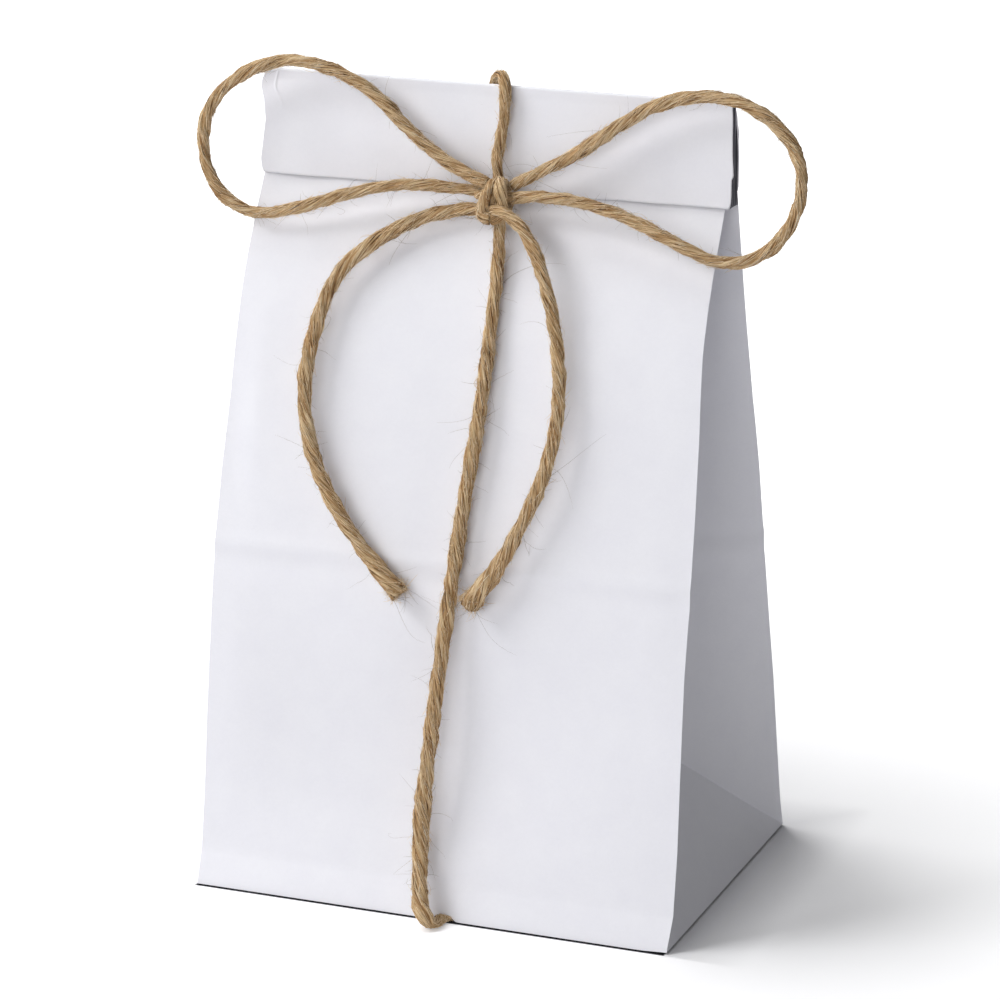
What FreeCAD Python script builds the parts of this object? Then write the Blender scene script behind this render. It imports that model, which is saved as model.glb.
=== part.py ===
# Square bottom paper bag, its mouth folded forward once and tied up with jute twine in a bow.
# Millimetres. The origin is the middle of the base, +Z is up and the folded mouth faces -Y.
import FreeCAD, Part
import math
import os

import Sketcher
from FreeCAD import Placement, Rotation, Vector

# Driving dimensions: alias, value, what it is
DIMENSIONS = (
    ("bag_width", 130.0, "front and back panel, side to side"),
    ("bag_depth", 96.0, "base, front to back: twice one half of a side gusset"),
    ("bag_height", 210.0, "base to the top of the folded mouth"),
    ("edge_strip", 0.5, "two thicknesses of paper along each folded side edge"),
    ("apex_height", 39.7, "where a gusset's diagonal creases meet, above the base"),
    ("apex_inset", 27.0, "the same point, in from the side of the base"),
    # the panels' profile: how high each level is, and how far its front and back stand from the middle
    ("foot_height", 9.0, "the pasted base ends its curl into the panels"),
    ("foot_front", 43.5, ""),
    ("foot_back", 45.5, ""),
    ("fold_height", 46.5, "the crease at half the depth, from packing flat"),
    ("fold_front", 40.3, ""),
    ("fold_back", 38.8, ""),
    ("print_height", 86.0, "the line that the flat-folded base printed into the panels"),
    ("print_front", 33.4, ""),
    ("print_back", 27.8, ""),
    ("waist_height", 122.0, ""),
    ("waist_front", 26.8, ""),
    ("waist_back", 19.2, ""),
    ("shoulder_height", 150.0, "the panels start to close"),
    ("shoulder_front", 20.0, ""),
    ("shoulder_back", 10.6, ""),
    ("neck_height", 166.0, ""),
    ("neck_front", 14.0, ""),
    ("neck_back", 6.0, ""),
    ("collar_height", 177.0, ""),
    ("collar_front", 7.8, ""),
    ("collar_back", 3.3, ""),
    ("band_height", 188.0, "all layers lie flat together from here up"),
    ("band_front", 1.4, ""),
    ("band_back", 0.8, ""),
    # the folded mouth
    ("flap_bottom", 184.0, "lower edge of the outer lip"),
    ("flap_front", 5.2, "how far forward that edge stands"),
    ("lip_length", 8.5, "the back panel's lip beyond the other layers"),
    ("lip_thickness", 0.5, "one layer and its ripple"),
    ("stack_thickness", 1.3, "the folded layers together"),
    ("lip_slope", 1.0, "how far back that edge leans over the lip's length"),
    ("crown_front", 2.3, "front of the fold at the top, before its round"),
    ("flap_root", 202.0, "where the flap leaves the layers behind it"),
    ("fold_radius", 1.3, "round of the top fold"),
    ("lip_corner", 2.0, "round of the lip's lower corners"),
    # paste seams
    ("seam_width", 12.0, "lap seam down the back panel"),
    ("seam_rise", 0.25, ""),
    ("seam_offset", -18.0, "seam's left edge"),
    ("bottom_step", 0.3, "the last bottom flap over the first"),
    ("bottom_flap", 58.0, "last bottom flap, front to back"),
    ("flap_set_in", 2.0, "its corners, in from the front edge"),
    # twine
    ("twine_diameter", 4.0, ""),
    ("groove_radius", 3.0, "the dent that the tight twine presses across the base"),
    ("groove_centre", 1.9, "its axis above the base"),
    ("groove_offset", 4.2, "its axis to the right of the middle"),
    ("groove_overrun", 10.0, "its tool beyond the base's two edges"),
    ("knot_x", 5.0, "middle of the bow's knot"),
    ("knot_y", -10.7, ""),
    ("knot_z", 184.0, ""),
    ("turn_radius", 1.6, "twine pressed tight in the knot's turns"),
    ("turn_height", 4.2, "half height of a binding turn's centreline"),
    ("turn_depth", 2.8, "half depth of a binding turn's centreline"),
    ("turn_spacing", 2.3, "a binding turn's middle, out from the knot's"),
    ("left_lean", 8.0, "degrees that the left turn leans, in at the top"),
    ("right_lean", -6.0, "the same for the right turn"),
    ("hitch_height", 2.9, "half height of the half hitch's centreline"),
    ("hitch_depth", 2.6, "half depth of the half hitch's centreline"),
    ("hitch_back", 0.3, "the half hitch, back from the knot's middle"),
    ("hitch_drop", 3.4, "the half hitch, below the knot's middle"),
    ("hitch_lean", 12.0, "degrees"),
    ("core_radius", 3.4, "the strands gathered inside the knot"),
    ("core_length", 8.3, ""),
    ("core_rise", 0.8, "those strands, above the knot's middle"),
)

# The levels of the panels' profile, from the floor up
LEVELS = ("foot", "fold", "print", "waist", "shoulder", "neck", "collar", "band")

# Routes of the twine's centreline. A tube's arcs round off every point between its two ends.
WRAP_ROUTE = (
    (3.7, -8.0, 187.6), (2.5, -7.1, 191.9), (3.7, -6.1, 198.8), (4.4, -4.9, 206.3),
    (3.9, -4.4, 212.4), (-0.9, 3.0, 212.6), (-2.6, 3.2, 205.5), (-4.0, 5.2, 192.0),
    (-5.0, 9.2, 167.0), (-4.6, 20.4, 129.0), (-2.2, 30.2, 88.0), (0.6, 41.1, 50.0),
    (2.4, 45.8, 26.0), (3.6, 48.6, 12.5), (4.0, 50.3, 5.8), (4.1, 47.6, 2.5),
    (4.1, 40.5, 2.4), (4.5, 27.0, 2.5), (4.0, 1.0, 2.4), (4.5, -26.0, 2.5),
    (4.2, -41.5, 2.4), (4.4, -49.5, 2.4), (3.7, -54.0, 2.4), (0.9, -55.2, 4.8),
    (-1.8, -50.6, 9.6), (-3.2, -46.8, 16.5), (-3.3, -45.0, 27.0), (-2.2, -43.4, 41.0),
    (-0.6, -40.4, 62.0), (1.5, -36.4, 86.0), (3.7, -32.0, 110.0), (6.6, -27.2, 134.0),
    (7.1, -21.2, 156.0), (6.6, -14.8, 170.0), (5.5, -12.0, 180.0),
)
LEFT_LOOP_ROUTE = (
    (1.9, -11.6, 187.6), (-7.0, -10.9, 190.4), (-19.3, -9.6, 198.2), (-29.6, -9.5, 208.5),
    (-42.4, -9.5, 214.9), (-56.0, -9.5, 216.5), (-70.0, -10.5, 210.0), (-78.4, -11.5, 198.3),
    (-75.8, -13.5, 182.4), (-64.2, -14.5, 174.3), (-49.5, -15.5, 177.5), (-36.0, -14.5, 182.5),
    (-22.0, -13.0, 186.0), (-8.5, -10.2, 185.7), (1.4, -8.9, 184.4),
)
RIGHT_LOOP_ROUTE = (
    (8.2, -9.3, 187.0), (13.5, -10.2, 190.2), (25.2, -10.0, 196.3), (36.1, -9.5, 204.4),
    (46.8, -9.5, 211.3), (61.0, -9.5, 214.8), (74.4, -10.5, 212.0), (85.2, -11.5, 202.4),
    (86.8, -14.0, 189.0), (79.2, -15.5, 176.5), (66.8, -16.5, 172.5), (53.6, -16.0, 177.8),
    (41.3, -14.5, 182.5), (28.4, -12.8, 185.2), (15.5, -12.0, 185.6), (8.6, -11.4, 184.3),
)
LEFT_TAIL_ROUTE = (
    (1.5, -10.5, 180.6), (-10.0, -10.8, 180.1), (-25.0, -15.7, 173.1), (-36.7, -20.5, 163.1),
    (-41.1, -25.3, 147.6), (-42.7, -29.2, 132.1), (-38.5, -33.0, 116.5), (-30.4, -35.1, 102.7),
    (-20.0, -36.4, 90.7), (-13.3, -36.9, 84.6),
)
RIGHT_TAIL_ROUTE = (
    (6.6, -13.8, 181.8), (13.4, -16.8, 179.7), (21.5, -19.6, 166.6), (27.3, -24.5, 151.7),
    (29.0, -29.0, 135.2), (26.3, -32.8, 119.4), (20.5, -35.3, 104.8), (12.9, -36.8, 90.3),
    (7.5, -37.2, 84.0),
)

ARC_SHARE = 0.45  # of the shorter run beside a corner, taken by its arc
SECTION_SIDES = 6  # of the twine's plain tubes
TURN_CORNERS = 5  # runs round each half of a turn's ring
MITRED = 1  # a swept tube's corners
SAME_PLACE = 0.01

doc = FreeCAD.newDocument("paper_bag_with_bow")
sheet = doc.addObject("Spreadsheet::Sheet", "Sizes")


def fill_sheet():
    """One row a dimension: what it is, and its value under its alias."""
    for row, (alias, value, note) in enumerate(DIMENSIONS, start=1):
        sheet.set(f"A{row}", f"{alias} {note}".strip())
        sheet.set(f"B{row}", str(value))
        sheet.setAlias(f"B{row}", alias)
    doc.recompute()


def size(alias):
    """A driving dimension's value."""
    return float(sheet.get(alias))


def bind(item, **expressions):
    """Bind an object's properties to expressions over the sheet's cells."""
    for name, expression in expressions.items():
        item.setExpression(name.replace("__", "."), expression)


def solid_feature(label, shape):
    """A document object that holds a shape made with Part's functions."""
    feature = doc.addObject("Part::Feature", label)
    feature.Label = label
    feature.Shape = shape
    feature.Placement = Placement()
    return feature


def fuse(label, *parts):
    """One solid from several overlapping ones."""
    feature = doc.addObject("Part::MultiFuse", label)
    feature.Label = label
    feature.Shapes = list(parts)
    feature.Refine = True
    return feature


def cut(label, base, tool):
    """The base without the space that the tool fills."""
    feature = doc.addObject("Part::Cut", label)
    feature.Label = label
    feature.Base = base
    feature.Tool = tool
    return feature


# The bag ------------------------------------------------------------------------------------


def side_chains(side_x):
    """Along one side of the bag: the front edge, the back edge and the gusset's middle crease.
    Paper doesn't stretch, so the crease stands as far in as half a gusset reaches at each level."""
    half_depth = size("bag_depth") / 2
    strip = size("edge_strip")
    half_gusset = half_depth - strip
    inward = -math.copysign(1, side_x)
    front = [Vector(side_x, -half_depth, 0)]
    back = [Vector(side_x, half_depth, 0)]
    crease = [Vector(side_x + inward * size("apex_inset"), 0, size("apex_height"))]
    for level in LEVELS:
        height = size(f"{level}_height")
        front_y = -size(f"{level}_front")
        back_y = size(f"{level}_back")
        front.append(Vector(side_x, front_y, height))
        back.append(Vector(side_x, back_y, height))
        if height > size("fold_height"):
            half_opening = (back_y - front_y) / 2 - strip
            inset = math.sqrt(half_gusset**2 - half_opening**2)
            crease.append(Vector(side_x + inward * inset, (front_y + back_y) / 2, height))
    return front, back, crease


def smooth(points):
    """A smooth edge through the points."""
    curve = Part.BSplineCurve()
    curve.interpolate(points)
    return curve.toShape()


def edge_parts(points):
    """A side edge: straight over the stiff foot and up to the half-depth crease, then one curve."""
    return [Part.makeLine(points[0], points[1]), Part.makeLine(points[1], points[2]), smooth(points[2:])]


def moved(points, shift):
    """The points, moved by one vector."""
    return [point + shift for point in points]


def polygon_face(points):
    """The flat face inside a closed polygon."""
    return Part.Face(Part.makePolygon(list(points) + [points[0]]))


def gusset_faces(front, back, crease):
    """One side gusset: the leaning triangle on the base, four facets beside its diagonal creases,
    and the two halves above them, folded in along the middle crease."""
    apex = crease[0]
    faces = [polygon_face([front[0], back[0], apex])]
    for edge in (front, back):
        faces.append(polygon_face([edge[0], edge[1], apex]))
        faces.append(polygon_face([edge[1], edge[2], apex]))
        faces.append(Part.makeRuledSurface(smooth(edge[2:]), smooth(crease)))
    return faces


def folded_bag():
    """The standing bag up to the flat band of its mouth, as one closed solid inside its paper."""
    width = size("bag_width")
    strip = Vector(0, size("edge_strip"), 0)
    faces = []
    rims = []
    for side_x in (width / 2, -width / 2):
        front, back, crease = side_chains(side_x)
        inner_front = moved(front, strip)
        inner_back = moved(back, -strip)
        faces += gusset_faces(inner_front, inner_back, crease)
        for edge in edge_parts(front):
            faces.append(edge.extrude(strip))
        for edge in edge_parts(back):
            faces.append(edge.extrude(-strip))
        rims.append((front, inner_front, crease, inner_back, back))
    right, left = rims
    for chain in (right[0], right[-1]):
        faces += [edge.extrude(Vector(-width, 0, 0)) for edge in edge_parts(chain)]
    foot = [chains[i][0] for chains, order in ((right, (0, 1, 3, 4)), (left, (4, 3, 1, 0))) for i in order]
    band = [chain[-1] for chain in right] + [chain[-1] for chain in reversed(left)]
    faces += [polygon_face(foot), polygon_face(band)]
    shell = Part.makeShell(faces)
    shell.sewShape()
    solid = Part.makeSolid(shell)
    if solid.Volume < 0:
        solid.reverse()
    return solid_feature("folded_bag", solid)


def origin_plane(body, role):
    """One of a body's own origin planes."""
    return next(item for item in body.Origin.OriginFeatures if item.Role == role)


def coordinate(text):
    """A sum of aliases, such as "lip_thickness - flap_front": its value, and its expression."""
    value = 0.0
    sign = 1
    words = []
    for word in text.split():
        if word in ("+", "-"):
            sign = -1 if word == "-" else 1
            words.append(word)
        else:
            value += sign * size(word)
            words.append("Sizes." + word)
    return value, " ".join(words)


def polygon_sketch(owner, name, corners):
    """A closed polygon in a sketch. Each corner is two sums of aliases, across and up, which hold
    it by two distances from the sketch's origin."""
    sketch = owner.newObject("Sketcher::SketchObject", name)
    places = [[coordinate(text) for text in corner] for corner in corners]
    count = len(corners)
    for i in range(count):
        (across, _), (up, _) = places[i]
        (next_across, _), (next_up, _) = places[(i + 1) % count]
        sketch.addGeometry(Part.LineSegment(Vector(across, up, 0), Vector(next_across, next_up, 0)), False)
    for i in range(count):
        sketch.addConstraint(Sketcher.Constraint("Coincident", i, 2, (i + 1) % count, 1))
    for i, place in enumerate(places):
        for kind, (value, expression) in zip(("DistanceX", "DistanceY"), place):
            number = sketch.addConstraint(Sketcher.Constraint(kind, -1, 1, i, 1, value))
            sketch.setExpression(f"Constraints[{number}]", expression)
    return sketch


def folded_mouth():
    """The closed mouth: the flat band of layers, its fold at the top, and the flap that comes down
    in front of it with the back panel's single lip below the other layers."""
    body = doc.addObject("PartDesign::Body", "mouth_fold")
    section = polygon_sketch(body, "mouth_section", (
        ("band_back", "collar_height"),
        ("band_back", "bag_height"),
        ("- crown_front", "bag_height"),
        ("- flap_front", "flap_bottom"),
        ("lip_thickness - flap_front", "flap_bottom"),
        ("lip_thickness + lip_slope - flap_front", "flap_bottom + lip_length"),
        ("stack_thickness + lip_slope - flap_front", "flap_bottom + lip_length"),
        ("- band_front", "flap_root"),
        ("- band_front", "collar_height"),
    ))
    section.AttachmentSupport = [(origin_plane(body, "YZ_Plane"), "")]
    section.MapMode = "FlatFace"
    pad = body.newObject("PartDesign::Pad", "mouth_width")
    pad.Profile = section
    pad.SideType = "Symmetric"
    bind(pad, Length="Sizes.bag_width")
    doc.recompute()
    crown = round_edges(body, pad, "top_round", "fold_radius", is_top_edge)
    round_edges(body, crown, "lip_corners", "lip_corner", is_lip_corner)
    return body


def is_top_edge(edge):
    """Whether an edge runs along the top of the folded mouth."""
    return abs(edge.CenterOfMass.z - size("bag_height")) < SAME_PLACE and edge.Length > size("lip_length")


def is_lip_corner(edge):
    """Whether an edge is one of the two short ones at the ends of the lip's lower edge."""
    return abs(edge.CenterOfMass.z - size("flap_bottom")) < SAME_PLACE and edge.Length < size("lip_length")


def round_edges(body, base, name, radius, chosen):
    """A fillet on those edges of a body's last feature that the test picks."""
    names = [f"Edge{i}" for i, edge in enumerate(base.Shape.Edges, start=1) if chosen(edge)]
    fillet = body.newObject("PartDesign::Fillet", name)
    fillet.Base = (base, names)
    bind(fillet, Radius=f"Sizes.{radius}")
    doc.recompute()
    return fillet


def back_seam():
    """The tube's lap seam, a strip of double paper down the back panel."""
    _, back, _ = side_chains(size("bag_width") / 2)
    start = Vector(size("seam_offset") - size("bag_width") / 2, 0, 0)
    rise = Vector(0, size("seam_rise"), 0)
    inside = moved(back, start - rise)
    strips = [edge.extrude(rise * 2) for edge in edge_parts(inside)]
    solids = [face.extrude(Vector(size("seam_width"), 0, 0)) for face in strips]
    return solid_feature("back_seam", solids[0].multiFuse(solids[1:]))


def bottom_step():
    """The thin space below the base beside the last pasted flap, which narrows to its free edge."""
    depth = size("bag_depth")
    width = size("bag_width")
    flap_edge = size("bottom_flap") - depth / 2
    taper = size("bottom_flap") / 2
    corner = size("flap_set_in") - depth / 2
    over = 1.0
    outline = [
        Vector(-width / 2 - over, -depth / 2 - over, 0),
        Vector(-width / 2, corner, 0),
        Vector(-width / 2 + taper, flap_edge, 0),
        Vector(width / 2 - taper, flap_edge, 0),
        Vector(width / 2, corner, 0),
        Vector(width / 2 + over, -depth / 2 - over, 0),
        Vector(width / 2 + over, depth / 2 + over, 0),
        Vector(-width / 2 - over, depth / 2 + over, 0),
    ]
    below = Vector(0, 0, -over)
    face = polygon_face(moved(outline, below))
    return solid_feature("bottom_step", face.extrude(Vector(0, 0, over + size("bottom_step"))))


def twine_groove():
    """The dent across the underside that keeps the twine clear of what the bag stands on."""
    groove = doc.addObject("Part::Cylinder", "twine_groove")
    bind(groove, Radius="Sizes.groove_radius", Height="Sizes.bag_depth + 2 * Sizes.groove_overrun")
    groove.Placement = Placement(Vector(0, 0, 0), Rotation(Vector(1, 0, 0), -90))
    bind(groove, Placement__Base__x="Sizes.groove_offset", Placement__Base__z="Sizes.groove_centre",
         Placement__Base__y="-Sizes.bag_depth / 2 - Sizes.groove_overrun")
    return groove


def paper_bag():
    """The folded sheet as one closed solid."""
    paper = fuse("bag_paper", folded_bag(), folded_mouth(), back_seam())
    hollows = fuse("bag_hollows", bottom_step(), twine_groove())
    return cut("paper_bag", paper, hollows)


# The twine ----------------------------------------------------------------------------------


def twine_path(points):
    """Straight runs joined by tangent arcs, each as large as the two runs beside it allow."""
    corners = [Vector(*point) for point in points]
    edges = []
    radii = []
    start = corners[0]
    for before, corner, after in zip(corners, corners[1:], corners[2:]):
        arriving = (corner - before).normalize()
        leaving = (after - corner).normalize()
        reach = ARC_SHARE * min(corner.distanceToPoint(before), corner.distanceToPoint(after))
        half_turn = arriving.getAngle(leaving) / 2
        radius = reach / math.tan(half_turn)
        inward = (leaving - arriving).normalize()
        middle = corner + inward * (radius / math.cos(half_turn) - radius)
        arc_start = corner - arriving * reach
        arc_end = corner + leaving * reach
        edges.append(Part.LineSegment(start, arc_start).toShape())
        edges.append(Part.Arc(arc_start, middle, arc_end).toShape())
        radii.append(radius)
        start = arc_end
    edges.append(Part.LineSegment(start, corners[-1]).toShape())
    return Part.Wire(edges), radii


def twine_section(centre, heading, radius):
    """Twine's plain section: a few flat sides around the area of a circle."""
    area = math.pi * radius**2
    reach = math.sqrt(area / (SECTION_SIDES / 2 * math.sin(math.tau / SECTION_SIDES)))
    turned = Rotation(Vector(0, 0, 1), heading)
    corners = [
        centre + turned.multVec(Vector(reach * math.cos(angle), reach * math.sin(angle), 0))
        for angle in (math.tau * side / SECTION_SIDES for side in range(SECTION_SIDES))
    ]
    return Part.makePolygon(corners + [corners[0]]), area


def twine_tube(name, points):
    """A plain tube along a route, before the knot takes its end."""
    path, radii = twine_path(points)
    start = Vector(*points[0])
    section, area = twine_section(start, Vector(*points[1]) - start, size("twine_diameter") / 2)
    tube = path.makePipeShell([section], True, False)
    print(name, "length", round(path.Length, 1), "volume", round(tube.Volume),
          "section x length", round(area * path.Length), "radii", [round(r, 1) for r in radii])
    return solid_feature(name + "_tube", tube)


def knot_turn(name, centre, half_height, half_depth, rotation):
    """One turn of pressed twine: a plain tube with mitred corners round a long ring, which starts
    at the middle of the ring's back run."""
    run = half_height - half_depth
    corners = [Vector(0, half_depth, 0)]
    for side, first in ((run, math.pi / 2), (-run, -math.pi / 2)):
        for step in range(TURN_CORNERS + 1):
            angle = first - math.pi * step / TURN_CORNERS
            corners.append(Vector(side + half_depth * math.cos(angle), half_depth * math.sin(angle), 0))
    path = Part.makePolygon(corners + [corners[0]])
    section, _ = twine_section(corners[0], Vector(1, 0, 0), size("turn_radius"))
    feature = solid_feature(name, path.makePipeShell([section], True, False, MITRED))
    feature.Placement = Placement(centre, rotation)
    return feature


def bow_knot():
    """The knot: two binding turns over the bow, the half hitch under them, and the twine between."""
    middle = Vector(size("knot_x"), size("knot_y"), size("knot_z"))
    upright = Rotation(Vector(0, 0, 1), Vector(0, 1, 0), Vector(-1, 0, 0), "XYZ")
    turns = []
    for side, sign in (("left", -1), ("right", 1)):
        place = middle + Vector(sign * size("turn_spacing"), 0, 0)
        rotation = Rotation(Vector(0, 1, 0), size(f"{side}_lean")) * upright
        turns.append(knot_turn(f"{side}_turn", place, size("turn_height"), size("turn_depth"), rotation))
    below = middle + Vector(0, size("hitch_back"), -size("hitch_drop"))
    rotation = Rotation(Vector(0, 1, 0), size("hitch_lean"))
    hitch = knot_turn("under_hitch", below, size("hitch_height"), size("hitch_depth"), rotation)
    core = doc.addObject("Part::Cylinder", "gathered_strands")
    bind(core, Radius="Sizes.core_radius", Height="Sizes.core_length")
    core.Placement = Placement(Vector(0, size("knot_y"), 0), Rotation(Vector(0, 1, 0), 90))
    bind(core, Placement__Base__x="Sizes.knot_x - Sizes.core_length / 2",
         Placement__Base__z="Sizes.knot_z + Sizes.core_rise")
    return fuse("bow_knot", *turns, hitch, core)


def twine_pieces(knot):
    """The wrap round the bag, the bow's two loops and its two tails, each ending on the knot."""
    routes = (
        ("twine_wrap", WRAP_ROUTE),
        ("bow_loop_left", LEFT_LOOP_ROUTE),
        ("bow_loop_right", RIGHT_LOOP_ROUTE),
        ("bow_tail_left", LEFT_TAIL_ROUTE),
        ("bow_tail_right", RIGHT_TAIL_ROUTE),
    )
    return [cut(name, twine_tube(name, route), knot) for name, route in routes]


def write_parts(pieces):
    """Stop on any failed object, then write each piece to a file named after it."""
    for item in doc.Objects:
        if "Invalid" in item.State or "Error" in item.State:
            raise RuntimeError(f"{item.Name} did not recompute: {item.State}")
    os.makedirs("parts", exist_ok=True)
    for piece in pieces:
        shape = piece.Shape
        if shape.isNull() or not shape.isValid() or len(shape.Solids) != 1:
            raise RuntimeError(f"{piece.Label} is not one valid solid")
        shape.exportStep(f"parts/{piece.Label}.step")


def main():
    """Build every piece and write it."""
    fill_sheet()
    knot = bow_knot()
    pieces = [paper_bag(), knot] + twine_pieces(knot)
    doc.recompute()
    write_parts(pieces)


main()
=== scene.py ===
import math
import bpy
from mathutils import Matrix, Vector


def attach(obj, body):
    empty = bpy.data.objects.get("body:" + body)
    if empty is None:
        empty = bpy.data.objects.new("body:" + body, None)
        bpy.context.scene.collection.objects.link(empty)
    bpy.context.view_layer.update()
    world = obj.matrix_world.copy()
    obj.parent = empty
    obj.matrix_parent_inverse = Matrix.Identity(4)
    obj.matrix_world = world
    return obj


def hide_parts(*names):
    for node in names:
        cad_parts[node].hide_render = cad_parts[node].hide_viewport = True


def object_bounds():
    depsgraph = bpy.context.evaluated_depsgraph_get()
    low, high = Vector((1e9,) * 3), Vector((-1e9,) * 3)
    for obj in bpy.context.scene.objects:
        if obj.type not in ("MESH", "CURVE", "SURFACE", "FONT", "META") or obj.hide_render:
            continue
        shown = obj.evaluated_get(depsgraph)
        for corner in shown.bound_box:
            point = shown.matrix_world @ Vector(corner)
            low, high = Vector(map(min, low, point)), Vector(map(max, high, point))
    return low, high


bl_info = {
    "name": "Paper Bag with Twine Bow",
    "version": (1, 0, 0),
    "blender": (4, 5, 0),
    "location": "3D View > Sidebar > Paper Bag",
    "description": "A white square bottom paper bag, folded shut and tied up with jute twine",
    "category": "Add Mesh",
}

import bmesh
import bpy
import numpy as np
from bpy.props import FloatProperty, FloatVectorProperty, PointerProperty

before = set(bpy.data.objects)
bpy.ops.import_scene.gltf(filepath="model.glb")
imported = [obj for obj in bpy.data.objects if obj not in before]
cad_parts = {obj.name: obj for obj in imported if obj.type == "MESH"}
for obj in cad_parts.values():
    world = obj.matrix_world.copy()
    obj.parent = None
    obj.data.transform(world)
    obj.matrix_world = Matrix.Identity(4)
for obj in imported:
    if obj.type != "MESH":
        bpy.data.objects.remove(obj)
CAD_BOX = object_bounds()
MM = 0.001


def linear(hex_colour):
    """An sRGB hex colour as linear red, green, blue and alpha."""
    parts = np.array([int(hex_colour[i:i + 2], 16) for i in (1, 3, 5)]) / 255
    low = parts / 12.92
    high = ((parts + 0.055) / 1.055) ** 2.4
    return (*np.where(parts <= 0.04045, low, high).tolist(), 1.0)


PAPER_FINISH = "bleached_kraft_paper_machine_finished"
TWINE_FINISH = "jute_twine_three_ply_unpolished_painted_shade"
CLOSE_FINISH, LOOSE_FINISH = "jute_fibres_on_the_twine", "jute_fibres_loose_weathered"


# ---- sizes and colours


def length_setting(name, description, default, low):
    """A length that the user can change, in metres, and the least that it may be."""
    return FloatProperty(name=name, description=description, default=default, min=low, unit="LENGTH")


def colour_setting(name, description, hex_colour):
    """A colour that the user can change, from its sRGB hex value."""
    return FloatVectorProperty(name=name, description=description, subtype="COLOR", size=4,
                               default=linear(hex_colour), min=0, max=1)


class BagSizes(bpy.types.PropertyGroup):
    """The folded bag."""

    paper: length_setting("Paper", "Thickness of one layer", 0.00016, 0.00005)
    lip_gap: length_setting("Lip", "How far the outer layer hangs below the others", 0.0085, 0.0)
    seam_width: length_setting("Lap seam", "Width of the pasted seam down the back", 0.012, 0.002)


class TwineSizes(bpy.types.PropertyGroup):
    """Three-ply jute twine."""

    diameter: length_setting("Diameter", "Twine's outer diameter", 0.004, 0.001)
    lay: length_setting("Lay", "Length in which a ply goes once round", 0.024, 0.005)
    fibre: length_setting("Fibre", "Thickness of a loose fibre", 0.00010, 0.00002)
    fuzz: FloatProperty(name="Fuzz", description="Loose fibres: 1 is up to some 8,000 on each metre",
                        default=2.2, min=0.0, max=6.0)


class Finishes(bpy.types.PropertyGroup):
    """Colours."""

    paper: colour_setting("Paper", "Bleached kraft paper", "#EFEFF4")
    jute_light: colour_setting("Jute, light", "Outer fibres that catch the light", "#FAEEDA")
    jute_middle: colour_setting("Jute, middle", "Most of the outer fibres", "#E8CEA8")
    jute_dark: colour_setting("Jute, dark", "Weathered outer fibres", "#A4835C")
    # the twine's body is painted in this core tone, darker than the fibres on it, as painted shade among its
    # fibres
    jute_core_painted_shade: colour_setting("Jute, core", "Fibres further in, in the gaps", "#A8855C")
    floor: colour_setting("Floor", "Studio floor", "#F4F4F6")


PAINTED_GROOVE_SHADE = linear("#4C3725")  # painted shade: the twine body's darkest tone, in random streaks, for the shade deep in the gaps between plies and fibres
WEATHERED = [linear(tone) for tone in ("#B4AA9B", "#8C8276", "#675F55")]  # jute gone grey, light to dark
PAINTED_FOLD_SHADE_DARK, PAINTED_FOLD_SHADE_LINES = linear("#34343A"), linear("#8C8C94")  # painted shade at the folded mouth's open ends: near black, with grey lines for the packed paper edges
PAINTED_CONTACT_SHADOW = linear("#2A2A2E")  # painted contact shadow: the floor's colour under the bag and just past its edges
FLOOR_BOUNCE = linear("#E8E8EC")  # what the floor throws back on the bag
FLOOR_LIFT = 0.28  # white added where the camera looks, so that the lit floor is pure white


# ---- mesh helpers


def add_piece(name, points, faces, uv=None, smooth=True):
    """A mesh object at the origin from an array of points in metres and a list or array of faces,
    with an optional UV for each point."""
    mesh = bpy.data.meshes.new(name)
    mesh.from_pydata(points, [], faces)
    mesh.update()
    if uv is not None:
        layer = mesh.uv_layers.new(name="along_fibre")
        corner = np.empty(len(mesh.loops), dtype=np.int32)
        mesh.loops.foreach_get("vertex_index", corner)
        layer.data.foreach_set("uv", uv[corner].astype(np.float32).ravel())
    mesh.polygons.foreach_set("use_smooth", np.full(len(mesh.polygons), smooth))
    piece = bpy.data.objects.new(name, mesh)
    bpy.context.scene.collection.objects.link(piece)
    return piece


def grid_faces(rows, columns, closed=False):
    """Four-cornered faces between the points of a grid laid out row by row; closed joins the last
    column to the first."""
    across = columns if closed else columns - 1
    i, j = np.meshgrid(np.arange(rows - 1), np.arange(across), indexing="ij")
    k = (j + 1) % columns
    return np.stack([i * columns + j, i * columns + k, (i + 1) * columns + k, (i + 1) * columns + j],
                    axis=-1).reshape(-1, 4)


def join(parts):
    """Several parts as one: their points, their faces, and whatever else each has, end to end."""
    points, faces, *others = zip(*parts)
    starts = np.cumsum([0] + [len(group) for group in points[:-1]])
    faces = [group + start for group, start in zip(faces, starts)]
    return (np.concatenate(points), np.concatenate(faces), *(np.concatenate(group) for group in others))


def sheet(grid, turn=1):
    """A grid of points in mm as points in metres and faces, which a turn of -1 turns round."""
    return grid.reshape(-1, 3) * MM, grid_faces(*grid.shape[:2])[:, ::turn]


def welded(piece, gap):
    """The piece with its doubled points merged and its faces turned outwards."""
    work = bmesh.new()
    work.from_mesh(piece.data)
    bmesh.ops.remove_doubles(work, verts=work.verts, dist=gap)
    bmesh.ops.dissolve_degenerate(work, edges=work.edges, dist=gap / 10)
    bmesh.ops.recalc_face_normals(work, faces=work.faces)
    work.to_mesh(piece.data)
    work.free()
    return piece


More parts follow.
